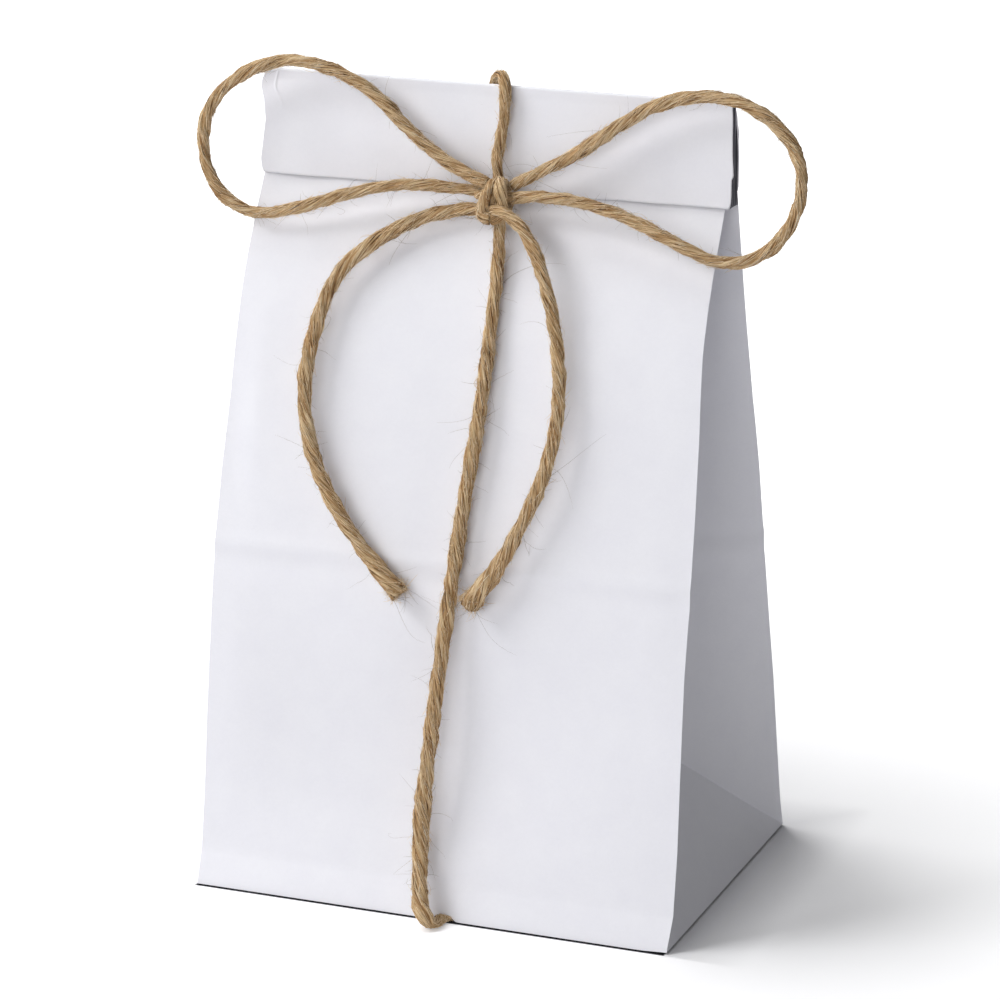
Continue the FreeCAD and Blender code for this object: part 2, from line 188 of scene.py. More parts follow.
def spline_through(knots, values, at):
    """A natural cubic spline through values at the knots: on each span the cubic whose second
    derivatives at its two ends make the slopes meet, and are zero at the spline's own ends."""
    knots, values, at = (np.asarray(a, dtype=float) for a in (knots, values, at))
    span = np.diff(knots)
    rise = np.diff(values) / span
    system = np.eye(len(knots))
    target = np.zeros(len(knots))
    inner = np.arange(1, len(knots) - 1)
    system[inner, inner - 1] = span[:-1]
    system[inner, inner] = 2 * (span[:-1] + span[1:])
    system[inner, inner + 1] = span[1:]
    target[inner] = 6 * np.diff(rise)
    bend = np.linalg.solve(system, target)
    i = np.clip(np.searchsorted(knots, at) - 1, 0, len(span) - 1)
    left, right, h = at - knots[i], knots[i + 1] - at, span[i]
    return ((bend[i] * right**3 + bend[i + 1] * left**3) / (6 * h)
            + (values[i] / h - bend[i] * h / 6) * right + (values[i + 1] / h - bend[i + 1] * h / 6) * left)


def ease(low, high, value):
    """Zero below low, one above high, and the cubic 3t^2 - 2t^3 between them."""
    t = np.clip((value - low) / (high - low), 0, 1)
    return t * t * (3 - 2 * t)


def hill(centre, width, value):
    """A bell of height one: e to the minus of the squared distance in widths."""
    return np.exp(-(((value - centre) / width) ** 2))


def ripple(seed, x, z, lengths, count=7):
    """A soft random surface between about -1 and 1: a sum of sine waves whose directions and phases
    are drawn with the seed and whose wavelengths lie between the two lengths."""
    draw = np.random.default_rng(seed)
    total = np.zeros(np.broadcast(x, z).shape)
    for _ in range(count):
        turn = draw.uniform(0, math.tau)
        wave = math.tau / draw.uniform(*lengths)
        phase = draw.uniform(0, math.tau)
        total = total + np.sin(wave * (x * math.cos(turn) + z * math.sin(turn)) + phase)
    return total / math.sqrt(count)


# ---- materials


def finish_material(name, roughness, specular):
    """A new material with a Principled shader, and its node tree and shader."""
    material = bpy.data.materials.new(name)
    material.use_nodes = True
    shader = material.node_tree.nodes["Principled BSDF"]
    shader.inputs["Roughness"].default_value = roughness
    shader.inputs["Specular IOR Level"].default_value = specular
    return material, material.node_tree, shader


def add_node(tree, kind, settings=None, links=None, stops=()):
    """A node of a kind. Settings name its properties or its sockets, links name the sockets that
    other nodes' outputs go into, and stops are a ramp's places and colours, its two ends first."""
    node = tree.nodes.new(kind)
    for name, value in (settings or {}).items():
        if isinstance(name, str) and hasattr(node, name):
            setattr(node, name, value)
        else:
            node.inputs[name].default_value = value
    for name, output in (links or {}).items():
        tree.links.new(output, node.inputs[name])
    for i, (position, tone) in enumerate(stops):
        stop = node.color_ramp.elements[i] if i < 2 else node.color_ramp.elements.new(position)
        stop.position, stop.color = position, tone
    return node


def per_metre(size_mm):
    """A texture's scale for a pattern of a size in millimetres."""
    return 1000 / size_mm


def bleached_kraft(paper):
    """Bleached kraft paper, machine finished: smooth and nearly matt, with a cloudy formation a few
    millimetres across, long fibres that barely show, and a faint waviness under raking light."""
    material, tree, shader = finish_material(PAPER_FINISH, 0.62, 0.35)
    place = {"Vector": add_node(tree, "ShaderNodeTexCoord").outputs["Object"]}
    cloud = add_node(tree, "ShaderNodeTexNoise", {"Scale": per_metre(9), "Detail": 3.0, "Roughness": 0.55},
                     place)
    fibre = add_node(tree, "ShaderNodeTexNoise", {"Scale": per_metre(0.9), "Detail": 4.0, "Roughness": 0.65},
                     place)
    cockle = add_node(tree, "ShaderNodeTexNoise", {"Scale": per_metre(22), "Detail": 2.0}, place)
    thin = (*(np.array(paper)[:3] * np.array([0.975, 0.974, 0.982])), 1)
    shade = add_node(tree, "ShaderNodeValToRGB", None, {"Fac": cloud.outputs["Fac"]},
                     ((0.30, thin), (0.70, tuple(paper))))
    mottle = add_node(tree, "ShaderNodeMix", {"data_type": "RGBA", "blend_type": "MULTIPLY", 0: 0.05},
                      {6: shade.outputs["Color"], 7: fibre.outputs["Fac"]})
    tree.links.new(mottle.outputs[2], shader.inputs["Base Color"])
    tooth = add_node(tree, "ShaderNodeBump", {"Strength": 0.16, "Distance": 0.00004},
                     {"Height": fibre.outputs["Fac"]})
    wave = add_node(tree, "ShaderNodeBump", {"Strength": 0.25, "Distance": 0.0004},
                    {"Height": cockle.outputs["Fac"], "Normal": tooth.outputs["Normal"]})
    tree.links.new(wave.outputs["Normal"], shader.inputs["Normal"])
    return material


def painted_fold_shade():
    """Painted shade for the open ends of the folded mouth, where cut edges of bleached kraft paper are
    packed together: grey lines a layer apart, nearly black between them, dark colour standing in for the
    shade there."""
    material, tree, shader = finish_material("kraft_paper_fold_ends_painted_shade", 0.9, 0.1)
    place = add_node(tree, "ShaderNodeTexCoord").outputs["Object"]
    # layers are 0.16 mm apart and are drawn at 0.7, to show; the lines run up the fold
    drawn = add_node(tree, "ShaderNodeMapping", {"Scale": (per_metre(4), per_metre(0.7), per_metre(30))},
                     {"Vector": place})
    layers = add_node(tree, "ShaderNodeTexNoise", {"Scale": 1.0, "Detail": 2.0},
                      {"Vector": drawn.outputs["Vector"]})
    tint = add_node(tree, "ShaderNodeValToRGB", None, {"Fac": layers.outputs["Fac"]},
                    ((0.42, PAINTED_FOLD_SHADE_DARK), (0.66, PAINTED_FOLD_SHADE_LINES)))
    tree.links.new(tint.outputs["Color"], shader.inputs["Base Color"])
    return material


def jute_finish(name, light, middle, dark):
    """Jute, spun and left unpolished: dull tan bast fibres in fine random streaks along the strand, the pale
    ones a painted highlight for fibres that catch the light and the brown ones painted shade for the gaps
    between them, and matt. Some stretches are warmer and some cooler. Loose fibres weather grey."""
    material, tree, shader = finish_material(name, 0.85, 0.2)
    along = add_node(tree, "ShaderNodeUVMap", {"uv_map": "along_fibre"}).outputs["UV"]
    # one unit of the map is a millimetre; a fibre is some 0.06 mm wide and is drawn at 0.3, to show,
    # and a bundle of them at 1.1
    streaks = [add_node(tree, "ShaderNodeMapping", {"Scale": (1 / long, 1 / wide, 1)}, {"Vector": along})
               for long, wide in ((7, 0.30), (12, 1.1))]
    fine, broad = (add_node(tree, "ShaderNodeTexNoise", {"Scale": 1.0, "Detail": 2.0, "Roughness": rough},
                            {"Vector": streak.outputs["Vector"]}).outputs["Fac"]
                   for streak, rough in zip(streaks, (0.55, 0.5)))
    both = add_node(tree, "ShaderNodeMix", {"data_type": "FLOAT", 0: 0.34}, {2: fine, 3: broad})
    tint = add_node(tree, "ShaderNodeValToRGB", None, {"Fac": both.outputs[0]},
                    ((0.37, dark), (0.64, light), (0.48, middle)))
    # factors on the colour, from warmer to cooler
    warmth = add_node(tree, "ShaderNodeValToRGB", None, {"Fac": broad},
                      ((0.36, (1, 0.93, 0.84, 1)), (0.64, (0.95, 1, 1, 1))))
    blend = add_node(tree, "ShaderNodeMix", {"data_type": "RGBA", "blend_type": "MULTIPLY", 0: 0.8},
                     {6: tint.outputs["Color"], 7: warmth.outputs["Color"]})
    tree.links.new(blend.outputs[2], shader.inputs["Base Color"])
    relief = add_node(tree, "ShaderNodeBump", {"Strength": 1.0, "Distance": 0.00020}, {"Height": fine})
    tree.links.new(relief.outputs["Normal"], shader.inputs["Normal"])
    return material


# Each side of the bag's foot, in metres: its axis, where it is, where the white added to the floor is full
# (nearer in, less white leaves the floor darker, a painted shadow), and where the painted contact shadow, a
# dark line under the bag's edge, has ended
FLOOR_SIDES = (
    ("X", 0.0650, 0.087, 0.0655),
    ("X", -0.066, -0.067, -0.0665),
    ("Y", 0.047, 0.070, 0.0475),
    ("Y", -0.0500, -0.0508, -0.0505),
)


def studio_floor(paint):
    """A painted studio floor, matt, that the camera sees as white paper would be, with the shadows that fall
    on it. White is added to what the lamps give it: none under the bag, more and more away from its sides,
    where each side has its own distance, and still more far off, so the floor next to the bag is darker than
    further out, a painted shadow. Under the bag and just past its edges the floor's colour is nearly black,
    a painted contact shadow."""
    material, tree, shader = finish_material("studio_floor_matt_white", 0.9, 0.0)
    seen = white_rays(tree)
    place = add_node(tree, "ShaderNodeTexCoord").outputs["Object"]
    axes = add_node(tree, "ShaderNodeSeparateXYZ", None, {0: place}).outputs
    ramps = []
    for column in (2, 3):
        most = None
        for side in FLOOR_SIDES:
            step = add_node(tree, "ShaderNodeMapRange", {"From Min": side[1], "From Max": side[column]},
                            {"Value": axes[side[0]]}).outputs["Result"]
            most = step if most is None else add_node(tree, "ShaderNodeMath", {"operation": "MAXIMUM"},
                                                      {0: most, 1: step}).outputs["Value"]
        ramps.append(most)
    # near: white added beside the bag, less close to it, a painted shadow; clear: where the painted contact
    # shadow has ended
    near, clear = ramps
    away = add_node(tree, "ShaderNodeVectorMath", {"operation": "LENGTH"}, {0: place})
    far = add_node(tree, "ShaderNodeMapRange", {"From Min": 0.10, "From Max": 0.34, "To Max": 0.6},
                   {"Value": away.outputs["Value"]})
    lift = add_node(tree, "ShaderNodeMath", {"operation": "MULTIPLY_ADD", 1: FLOOR_LIFT},
                    {0: near, 2: far.outputs["Result"]})
    glow = add_node(tree, "ShaderNodeMath", {"operation": "MULTIPLY"}, {0: seen, 1: lift.outputs["Value"]})
    painted = add_node(tree, "ShaderNodeMix", {"data_type": "RGBA", 6: FLOOR_BOUNCE, 7: paint}, {0: seen})
    # nearly black under the bag and along its edges: painted contact shadow
    shade = add_node(tree, "ShaderNodeMix", {"data_type": "RGBA", 6: PAINTED_CONTACT_SHADOW},
                     {0: clear, 7: painted.outputs[2]})
    tree.links.new(shade.outputs[2], shader.inputs["Base Color"])
    shader.inputs["Emission Color"].default_value = (1, 1, 1, 1)
    tree.links.new(glow.outputs["Value"], shader.inputs["Emission Strength"])
    return material


def white_rays(tree):
    """One where the camera, a reflection or a clear material looks, and zero for plain light."""
    path = add_node(tree, "ShaderNodeLightPath")
    shiny = add_node(tree, "ShaderNodeMath", {"operation": "MAXIMUM"},
                     {0: path.outputs["Is Camera Ray"], 1: path.outputs["Is Glossy Ray"]})
    clear = add_node(tree, "ShaderNodeMath", {"operation": "MAXIMUM"},
                     {0: shiny.outputs["Value"], 1: path.outputs["Is Transmission Ray"]})
    return clear.outputs["Value"]


def wear(piece, material):
    """Gives the piece a material, in place of any that it had."""
    piece.data.materials.clear()
    piece.data.materials.append(material)


def paper_piece(name, parts, thickness, material):
    """A piece of paper from its parts' points and faces, with its thickness behind its outer face."""
    piece = add_piece(name, *join(parts))
    wall = piece.modifiers.new("paper", "SOLIDIFY")
    wall.thickness = thickness
    wall.offset = -1
    wear(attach(piece, "root"), material)


# ---- the bag: lengths in mm

HALF_WIDTH, HALF_DEPTH = 65.0, 48.0  # of the base
FOOT = 9.0  # height of the foot's straight lowest run
FOLD = 3  # the level of the crease at half the depth, where the curved part starts
APEX = (27.0, 39.7)  # where a gusset's diagonal creases meet: in from the side, and up
STRIP = 0.5  # two layers along each side edge
RIM = 0.15  # how far the folded edge of the base stands off what the bag rests on
CROSSING = 4.3  # where the twine runs under the bag, right of the middle
SHARP = math.radians(28)  # paper folded further than this is creased
FACET_COLUMNS, BASE_COLUMNS = 30, 40  # of points across a gusset's facet, and along its base
PAPER_WELD, TWINE_WELD = 0.00002, 0.000002  # points closer than this are one, in metres

# The panels' profile: height, and how far the front and the back stand from the middle, in mm
LEVELS = np.array([
    (0.0, 49.3, 48.0), (9.0, 45.6, 45.5), (25.0, 42.7, 42.8), (46.5, 39.9, 38.8), (86.0, 33.6, 27.8),
    (122.0, 26.6, 19.2), (150.0, 20.2, 10.6), (166.0, 13.9, 6.0), (177.0, 7.8, 3.3), (188.0, 1.4, 0.8),
])
# Height, and half the bag's width there at the front left, the front right and the back, in mm
WIDTHS = np.array([
    (0.0, 66.1, 65.7, 65.7), (9.0, 66.3, 66.1, 65.6), (25.0, 66.4, 66.0, 65.3), (46.5, 66.5, 65.6, 65.1),
    (70.0, 66.6, 65.1, 65.3), (88.0, 66.7, 65.2, 65.4), (110.0, 66.0, 64.9, 65.3), (130.0, 64.8, 64.4, 64.9),
    (150.0, 64.3, 63.4, 65.0), (166.0, 64.0, 63.3, 65.1), (188.0, 63.7, 63.2, 65.0),
])


def half_width(z, side, sign):
    """Half the bag's width at a height, on the front or the back (side -1 or 1) and to the left or
    the right (sign -1 or 1), in straight lines between the rows of WIDTHS: the filled tube bellies
    over the foot and draws in towards the mouth."""
    left, right, back = (np.interp(z, WIDTHS[:, 0], WIDTHS[:, i]) for i in (1, 2, 3))
    return back + 0 * sign if side > 0 else np.where(sign < 0, left, right)


def panel_y(z, side):
    """How far a panel stands from the middle at a height: straight runs over the foot and up to the
    half-depth crease, then a cubic spline. Side is -1 for the front and 1 for the back."""
    column = 1 if side < 0 else 2
    low = np.interp(z, LEVELS[:FOLD + 1, 0], LEVELS[:FOLD + 1, column])
    high = spline_through(LEVELS[FOLD:, 0], LEVELS[FOLD:, column], z)
    return side * np.where(z < LEVELS[FOLD, 0], low, high)


def arch(x, height=1.45):
    """How high the base's edge rises over the twine that runs under it: a bell with a flat top, e to
    the minus of the fourth power of the distance in widths."""
    return height * np.exp(-(((x - CROSSING) / 2.7) ** 4))


def off_floor(points):
    """The points, raised by the rim's height at the floor and less and less up to the foot's top,
    and a little more towards the right-hand side."""
    x, y, z = np.moveaxis(points, -1, 0)
    rise = (RIM + 0.35 * ease(58, 66, x)) * (1 - ease(0, FOOT, z))
    return np.stack([x, y, z + rise], axis=-1)


def print_crease(z, shift):
    """The line that the flat-folded base printed across the tube: a bell of 0.42 mm outwards, and
    under it one of 0.30 mm inwards."""
    return 0.42 * hill(91.5 + shift, 2.0, z) - 0.30 * hill(86.5 + shift, 2.6, z)


def front_relief(x, z):
    """How far the front panel stands proud of its plain profile: a broad hollow low down, 3.6 mm
    deep times a bell over the height and the square of one less the squared share of the half width;
    two soft fields that belly out beside the tight twine, with a shallow trough left of it; the
    print crease; and the paper's own waviness."""
    inside = 1 - ease(0.86, 1.0, np.abs(x) / HALF_WIDTH)
    hollow = -3.6 * hill(44, 27, z) * (1 - (x / HALF_WIDTH) ** 2) ** 2 * ease(4, 24, z)
    belly = hollow + 0.5 * hill(120, 40, z) * (1 - hill(6, 14, x)) * inside
    wavy = 0.22 * ripple(3, x, z, (38, 95)) * inside
    crease = print_crease(z, 0.010 * x) * (0.8 + 0.2 * inside)
    trough = -0.25 * hill(120, 45, z) * hill(-6, 8, x)
    return belly + wavy * ease(8, 25, z) * (1 - ease(165, 185, z)) + crease + trough


def back_relief(x, z):
    """The same for the back panel, which bellies out beside the twine and has no hollow."""
    inside = 1 - ease(0.86, 1.0, np.abs(x) / HALF_WIDTH)
    return ((0.25 * ripple(11, x, z, (38, 95)) + 0.7 * hill(100, 55, z) * (1 - hill(-3, 12, x)))
            * inside * ease(8, 25, z) * (1 - ease(165, 185, z)) + print_crease(z, -0.008 * x))


def paper_y(x, z, side):
    """Where the paper of the front (side -1) or the back (side 1) stands at a place: the panel's
    profile with its relief outwards."""
    relief = front_relief if side < 0 else back_relief
    return panel_y(z, side) + side * relief(x, z)


def panel_columns():
    """Where the columns of a panel stand, as shares of its half width: even, with close ones over
    the twine."""
    close = np.linspace(-1.2, 9.6, 37) / 65.8
    return np.unique(np.concatenate([np.linspace(-1, 1, 121), close]).round(6))


def panel_grid(side, up):
    """A front or back panel: x across the width, z up to the flat band, y where the paper stands.
    The foot's edge rises in the arch over the twine. Returns points in mm, row by row."""
    share, z = np.meshgrid(panel_columns(), up)
    x = share * half_width(z, side, np.sign(share))
    z = z + arch(x) * (1 - ease(0, FOOT, z))
    return np.stack([x, paper_y(x, z, side), z], axis=-1)


def side_edge(sign, side, z):
    """The edge between a panel and a side gusset, as the panel has it, on the side where x is
    positive. Sign is 1 for the right-hand side of the bag and -1 for the left."""
    x = half_width(z, side, sign)
    return np.stack([x, paper_y(sign * x, z, side), z], axis=-1)


def middle_crease(sign, steps):
    """The middle crease of a side gusset above the half-depth crease. Paper doesn't stretch: the
    crease stands as far in as half a gusset reaches when its two edges have closed that far, which
    is the root of the half gusset squared less half the opening squared."""
    at, front, back = LEVELS[FOLD:].T
    inset = np.sqrt((HALF_DEPTH - STRIP) ** 2 - ((front + back) / 2 - STRIP) ** 2)
    middle, crease_z = (back - front) / 2, at.copy()
    inset[0], middle[0], crease_z[0] = APEX[0], 0, APEX[1]
    outer = (half_width(steps, -1, sign) + half_width(steps, 1, sign)) / 2
    return np.stack([outer - spline_through(at, inset, steps), spline_through(at, middle, steps),
                     spline_through(at, crease_z, steps)], axis=-1)


def between(low, high, count):
    """Points in straight lines from one chain to another: rows along the chains."""
    share = np.linspace(0, 1, count)[None, :, None]
    return low[:, None, :] * (1 - share) + high[:, None, :] * share


def side_gusset(sign):
    """One side: the leaning triangle on the base, the facets beside its diagonal creases, and the
    two halves above, folded in along the middle crease. Away from the edges the paper rolls where
    the base was folded flat against it, and is a little dented. Returns grids of points in mm."""
    low, steps = foot_levels(), upper_levels()
    crease = middle_crease(sign, steps)
    apex = crease[:1]
    grids = []
    for side in (-1, 1):
        grids.append(between(side_edge(sign, side, low), np.repeat(apex, len(low), axis=0),
                             FACET_COLUMNS))
        grids.append(between(side_edge(sign, side, steps), crease, FACET_COLUMNS))
    front, back = (side_edge(sign, side, low[:1]) for side in (-1, 1))
    base = front + (back - front) * np.linspace(0, 1, BASE_COLUMNS)[:, None]
    grids.append(between(base, np.repeat(apex, BASE_COLUMNS, axis=0), FACET_COLUMNS))
    turned = []
    for grid in grids:
        x, y, z = np.moveaxis(grid, -1, 0)
        soft = np.clip((HALF_WIDTH - x) / APEX[0], 0, 1) * np.clip((47 - np.abs(y)) / 20, 0, 1)
        roll = (0.5 * hill(85.5, 2.4, z) - 0.35 * hill(81, 2.6, z)) * ease(60, 75, z)
        dent = 0.45 * ripple(21 + sign, y, z, (26, 70)) * ease(6, 20, z) * (1 - ease(160, 180, z))
        turned.append(np.stack([sign * (x + (roll + dent) * soft), y, z], axis=-1))
    return turned


def foot_levels():
    """The heights of the rows from the floor to the half-depth crease."""
    return np.concatenate([np.linspace(0, FOOT, 9), np.linspace(FOOT, LEVELS[FOLD, 0], 24)[1:]])


def upper_levels():
    """The heights of the rows above the half-depth crease."""
    return np.linspace(LEVELS[FOLD, 0], LEVELS[-1, 0], 106)


def base_grid():
    """The base inside its rim: between the front edge and the back edge it is hollow by 0.5 to
    1.5 mm, and it arches over the twine from one to the other."""
    share, v = np.meshgrid(panel_columns(), np.linspace(0, 1, 41))
    turn = np.sign(share)
    x = share * (half_width(0, -1, turn) * (1 - v) + half_width(0, 1, turn) * v)
    z = arch(x)
    front, back = paper_y(x, z, -1), paper_y(x, z, 1)
    y = front + (back - front) * v
    hollow = 0.5 + 1.0 * (1 - ease(0.72, 1.0, np.abs(2 * v - 1))) * (1 - ease(0.8, 1.0, np.abs(share)))
    inner = (np.minimum(v, 1 - v) > 0.001) & (np.abs(share) < 0.999)
    return np.stack([x, y, np.maximum(z, hollow * inner)], axis=-1)


def fold_bag(material):
    """The tube of the bag: front and back panels, both folded side gussets and the base, with its
    creases sharp and slightly rounded."""
    up = np.concatenate([foot_levels(), upper_levels()[1:]])
    grids = [panel_grid(-1, up), panel_grid(1, up), *side_gusset(-1), *side_gusset(1), base_grid()]
    bag = welded(add_piece("bag_tube", *join([sheet(off_floor(grid)) for grid in grids])), PAPER_WELD)
    bag.data.set_sharp_from_angle(angle=SHARP)
    soften = bag.modifiers.new("fold_round", "BEVEL")
    soften.width = 0.00045
    soften.segments = 3
    soften.limit_method = "ANGLE"
    soften.angle_limit = SHARP
    soften.harden_normals = False
    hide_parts("paper_bag")
    wear(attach(bag, "root"), material)


def seam_strip(sizes, material):
    """The tube's lap seam: the free edge of the sheet pasted over the back panel, a strip whose
    height over the panel tapers to nothing on its hidden side."""
    across = np.linspace(-18, -18 + sizes.seam_width / MM, 14)
    x, z = np.meshgrid(across, np.linspace(0.6, 180, 150))
    share = (x - across[0]) / (across[-1] - across[0])
    free = x + 0.10 * ripple(51, z * 0, z, (18, 60)) * (share < 0.01)
    over = 0.10 + 0.24 * (1 - share) + 0.05 * ripple(52, x, z, (20, 60))
    strip = np.stack([free, paper_y(x, z, 1) + over, z], axis=-1)
    paper_piece("back_lap_seam", [sheet(strip, -1)], sizes.paper, material)


def bottom_flaps(sizes, material):
    """The pasted base: two broad flaps with mitred corners, the back one first and the front one
    over it. Each is a sheet that starts a little inside the base's rim, and its sides run in at 45
    degrees; both arch over the twine with the base."""
    share = np.unique(np.concatenate([np.linspace(-1, 1, 81), np.linspace(-0.03, 0.26, 59)]).round(6))
    for name, edge, inward, reach, height, seed in (("base_flap_back", 45.0, -1, 57.5, 0.62, 61),
                                                    ("base_flap_front", -45.0, 1, 55.5, 0.22, 67)):
        d, u = np.meshgrid(np.linspace(0, reach, 50), share, indexing="ij")
        x = u * (61.8 - np.clip(d, 0, 26))
        y = edge + inward * d
        z = height + 0.10 * ripple(seed, x, y, (20, 60)) * ease(1, 14, d)
        z = z + (0.8 * (1 - ease(0.72, 1.0, np.abs(y) / HALF_DEPTH))
                 * (1 - ease(0.8, 1.0, np.abs(x) / HALF_WIDTH)))
        z = np.maximum(z, arch(x, 1.98 + 0.1 * height))
        paper_piece(name, [sheet(np.stack([x, y, z], axis=-1), inward)], sizes.paper, material)


# Height, and how far in from the plain width the folded mouth's left and right ends are there, in mm
MOUTH_ENDS = np.array([
    (184.0, 1.1, 0.4), (185.5, 0.5, -0.1), (187.5, 0.3, -0.2), (191.8, 0.8, -0.1), (192.6, 0.9, -0.6),
    (198.0, 1.5, -0.1), (203.0, 0.8, 0.2), (206.0, 0.0, 0.3), (208.0, 0.1, 0.4), (210.8, 1.3, 0.6),
])
LIP = 184.0  # height of the lip, where the mouth's outer layer ends in front
MOUTH_TOP = 210.8  # where the mouth's fold starts to turn over
MOUTH_SIDES = (-64.8, 64.9)  # the folded mouth's plain left and right ends
BACK_ROWS, TURN_ROWS, FRONT_ROWS = 26, 8, 46  # of a layer's points, up behind, over, and down
FRONT = BACK_ROWS + TURN_ROWS  # the first row in front


def mouth_ends(z):
    """Where the left and the right end of the folded mouth are at a height."""
    left, right = (np.interp(z, MOUTH_ENDS[:, 0], MOUTH_ENDS[:, i]) for i in (1, 2))
    return MOUTH_SIDES[0] + left, MOUTH_SIDES[1] - right


def mouth_path(inset, lip_end):
    """The profile of one layer of the folded mouth, from the back band up, over a tight fold and
    down in front: y and z in mm of the outer face, moved in by the inset, down to the lip's end. In
    front it leans out by 2.1 mm in 24.4, with a bell of 0.35 mm round 197."""
    rise = np.linspace(LIP, MOUTH_TOP - inset, BACK_ROWS)
    fall = np.linspace(MOUTH_TOP - inset, lip_end, FRONT_ROWS)
    fall_y = -2.3 + inset * 0.9 - np.clip(208.4 - fall, 0, 30) * 2.1 / 24.4 - 0.35 * hill(197, 7, fall)
    back_y = np.interp(rise, [LIP, 188], [1.5, 0.8]) - 1.9 * ease(196, 210, rise) - inset * 0.8
    back_y = np.maximum(back_y, fall_y[0] + 0.06)
    turn = np.linspace(0, math.pi, TURN_ROWS + 2)[1:-1]
    half = (back_y[-1] - fall_y[0]) / 2
    round_y = fall_y[0] + half + np.cos(turn) * half
    round_z = MOUTH_TOP - inset + np.sin(turn) * min(half, 0.4)
    return np.concatenate([back_y, round_y, fall_y]), np.concatenate([rise, round_z, fall])


def mouth_layer(name, inset, lip_end, spans, material, thickness):
    """One layer of the folded mouth: its profile carried across the width, with the lip's waves, its
    slightly crooked ends and a short crease near the left one, and a wall as thick as the paper. The
    lip rises by up to 0.6 mm towards the right. Behind, under the fold, the layer runs in behind the
    tube's edge."""
    y, z = mouth_path(inset, lip_end)
    parts = []
    for low, high in spans:
        x = np.linspace(low, high, 31)
        if inset == 0:
            x = np.concatenate([np.linspace(low, low + 6, 31), np.linspace(low + 6, high - 2, 90)[1:],
                                np.linspace(high - 2, high, 7)[1:]])
        across, along = np.meshgrid(x, np.arange(len(y)))
        py, pz = y[along], z[along]
        front = (along > FRONT) * 1.0
        down = (1 - ease(185, 207, pz)) * front
        wave = 0.28 * ripple(31 + int(inset * 10), across, pz, (24, 60)) + 0.12 * np.sin(across / 3.1)
        wave = wave * down
        crease = -60.8 + 1.6 * (1 - ease(202.5, 206.5, pz))
        wave = wave + 0.16 * hill(crease, 0.3, across) * ease(200.5, 202.5, pz) * front
        left, right = mouth_ends(pz)
        share = np.clip((np.abs(across) - 55) / 9.8, 0, 1)
        behind = 0.3 + 0.3 * hill(203.5, 1.5, pz) - 0.6 * ease(207, MOUTH_TOP, pz)
        right_shift = np.where(front > 0, right - MOUTH_SIDES[1], behind)
        px = across + share * np.where(across < 0, left - MOUTH_SIDES[0], right_shift)
        px = px * (1 - 0.05 * (1 - ease(LIP, 189, pz)) * (1 - front))
        pz = pz + 0.6 * ease(5, 60, across) * (1 - ease(185, 200, pz)) * front
        parts.append(sheet(np.stack([px, py - wave, pz], axis=-1)))
    paper_piece(name, parts, thickness, material)


def mouth_fold_ends_painted_shade(material):
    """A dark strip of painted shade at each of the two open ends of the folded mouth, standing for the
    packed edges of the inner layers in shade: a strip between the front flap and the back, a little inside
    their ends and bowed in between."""
    y, z = mouth_path(0.0, LIP)
    heights = np.linspace(184.6, 210.6, 40)
    front = np.interp(heights, z[FRONT:][::-1], y[FRONT:][::-1]) + 0.15
    back = np.interp(heights, z[:BACK_ROWS], y[:BACK_ROWS]) - 0.15
    share, up = np.meshgrid(np.linspace(0, 1, 9), np.arange(len(heights)))
    sunk = 0.12 + 0.15 * np.sin(share * math.pi)
    parts = []
    for sign, end, end_behind in zip((-1, 1), mouth_ends(heights), (-63.9, 65.0)):
        x = end[up] * (1 - share) + end_behind * share - sign * sunk
        grid = np.stack([x, front[up] + (back - front)[up] * share, heights[up]], axis=-1)
        parts.append(sheet(grid, -sign))
    paper_piece("mouth_fold_ends_painted_shade", parts, 0.0001, material)


# ---- the twine: lengths in mm

# Routes of the twine's centreline, in mm. Under the bag it is pressed flat, and lies lower
WRAP_ROUTE = (
    (3.7, -8.0, 187.6), (2.5, -7.1, 191.9), (3.7, -6.1, 198.8), (4.4, -4.9, 206.3),
    (3.9, -4.0, 213.4), (-0.9, 3.0, 213.4), (-2.6, 3.4, 205.5), (-4.0, 5.2, 192.0),
    (-5.0, 9.2, 167.0), (-4.6, 20.4, 129.0), (-2.2, 30.2, 88.0), (0.6, 41.1, 50.0),
    (2.4, 45.8, 26.0), (3.6, 48.6, 12.5), (4.0, 50.3, 5.0), (4.2, 47.6, 1.2),
    (4.3, 40.5, 0.8), (4.3, 27.0, 0.8), (4.3, 1.0, 0.8), (4.3, -26.0, 0.8),
    (4.3, -41.5, 0.8), (4.2, -50.4, 0.8), (4.1, -55.0, 1.0), (2.6, -56.2, 1.9),
    (-0.2, -54.2, 5.6), (-1.6, -50.9, 11.0), (-3.0, -46.8, 17.5), (-3.3, -45.0, 27.0), (-2.2, -43.4, 41.0),
    (-0.6, -40.4, 62.0), (1.5, -36.4, 86.0), (3.7, -32.0, 110.0), (6.6, -27.2, 134.0),
    (7.1, -21.2, 156.0), (6.6, -14.8, 170.0), (5.5, -12.0, 180.0),
)
LEFT_LOOP_ROUTE = (
    (1.9, -11.6, 187.6), (-7.0, -10.9, 190.4), (-19.3, -9.6, 198.2), (-29.6, -9.5, 208.5),
    (-42.4, -9.5, 214.4), (-56.0, -9.5, 215.8), (-70.0, -10.5, 209.5), (-78.4, -11.5, 198.3),
    (-75.8, -13.5, 182.4), (-64.2, -14.5, 174.3), (-49.5, -15.5, 177.5), (-36.0, -14.5, 182.5),
    (-22.0, -13.0, 186.0), (-8.5, -10.2, 185.7), (1.4, -8.9, 184.4),
)
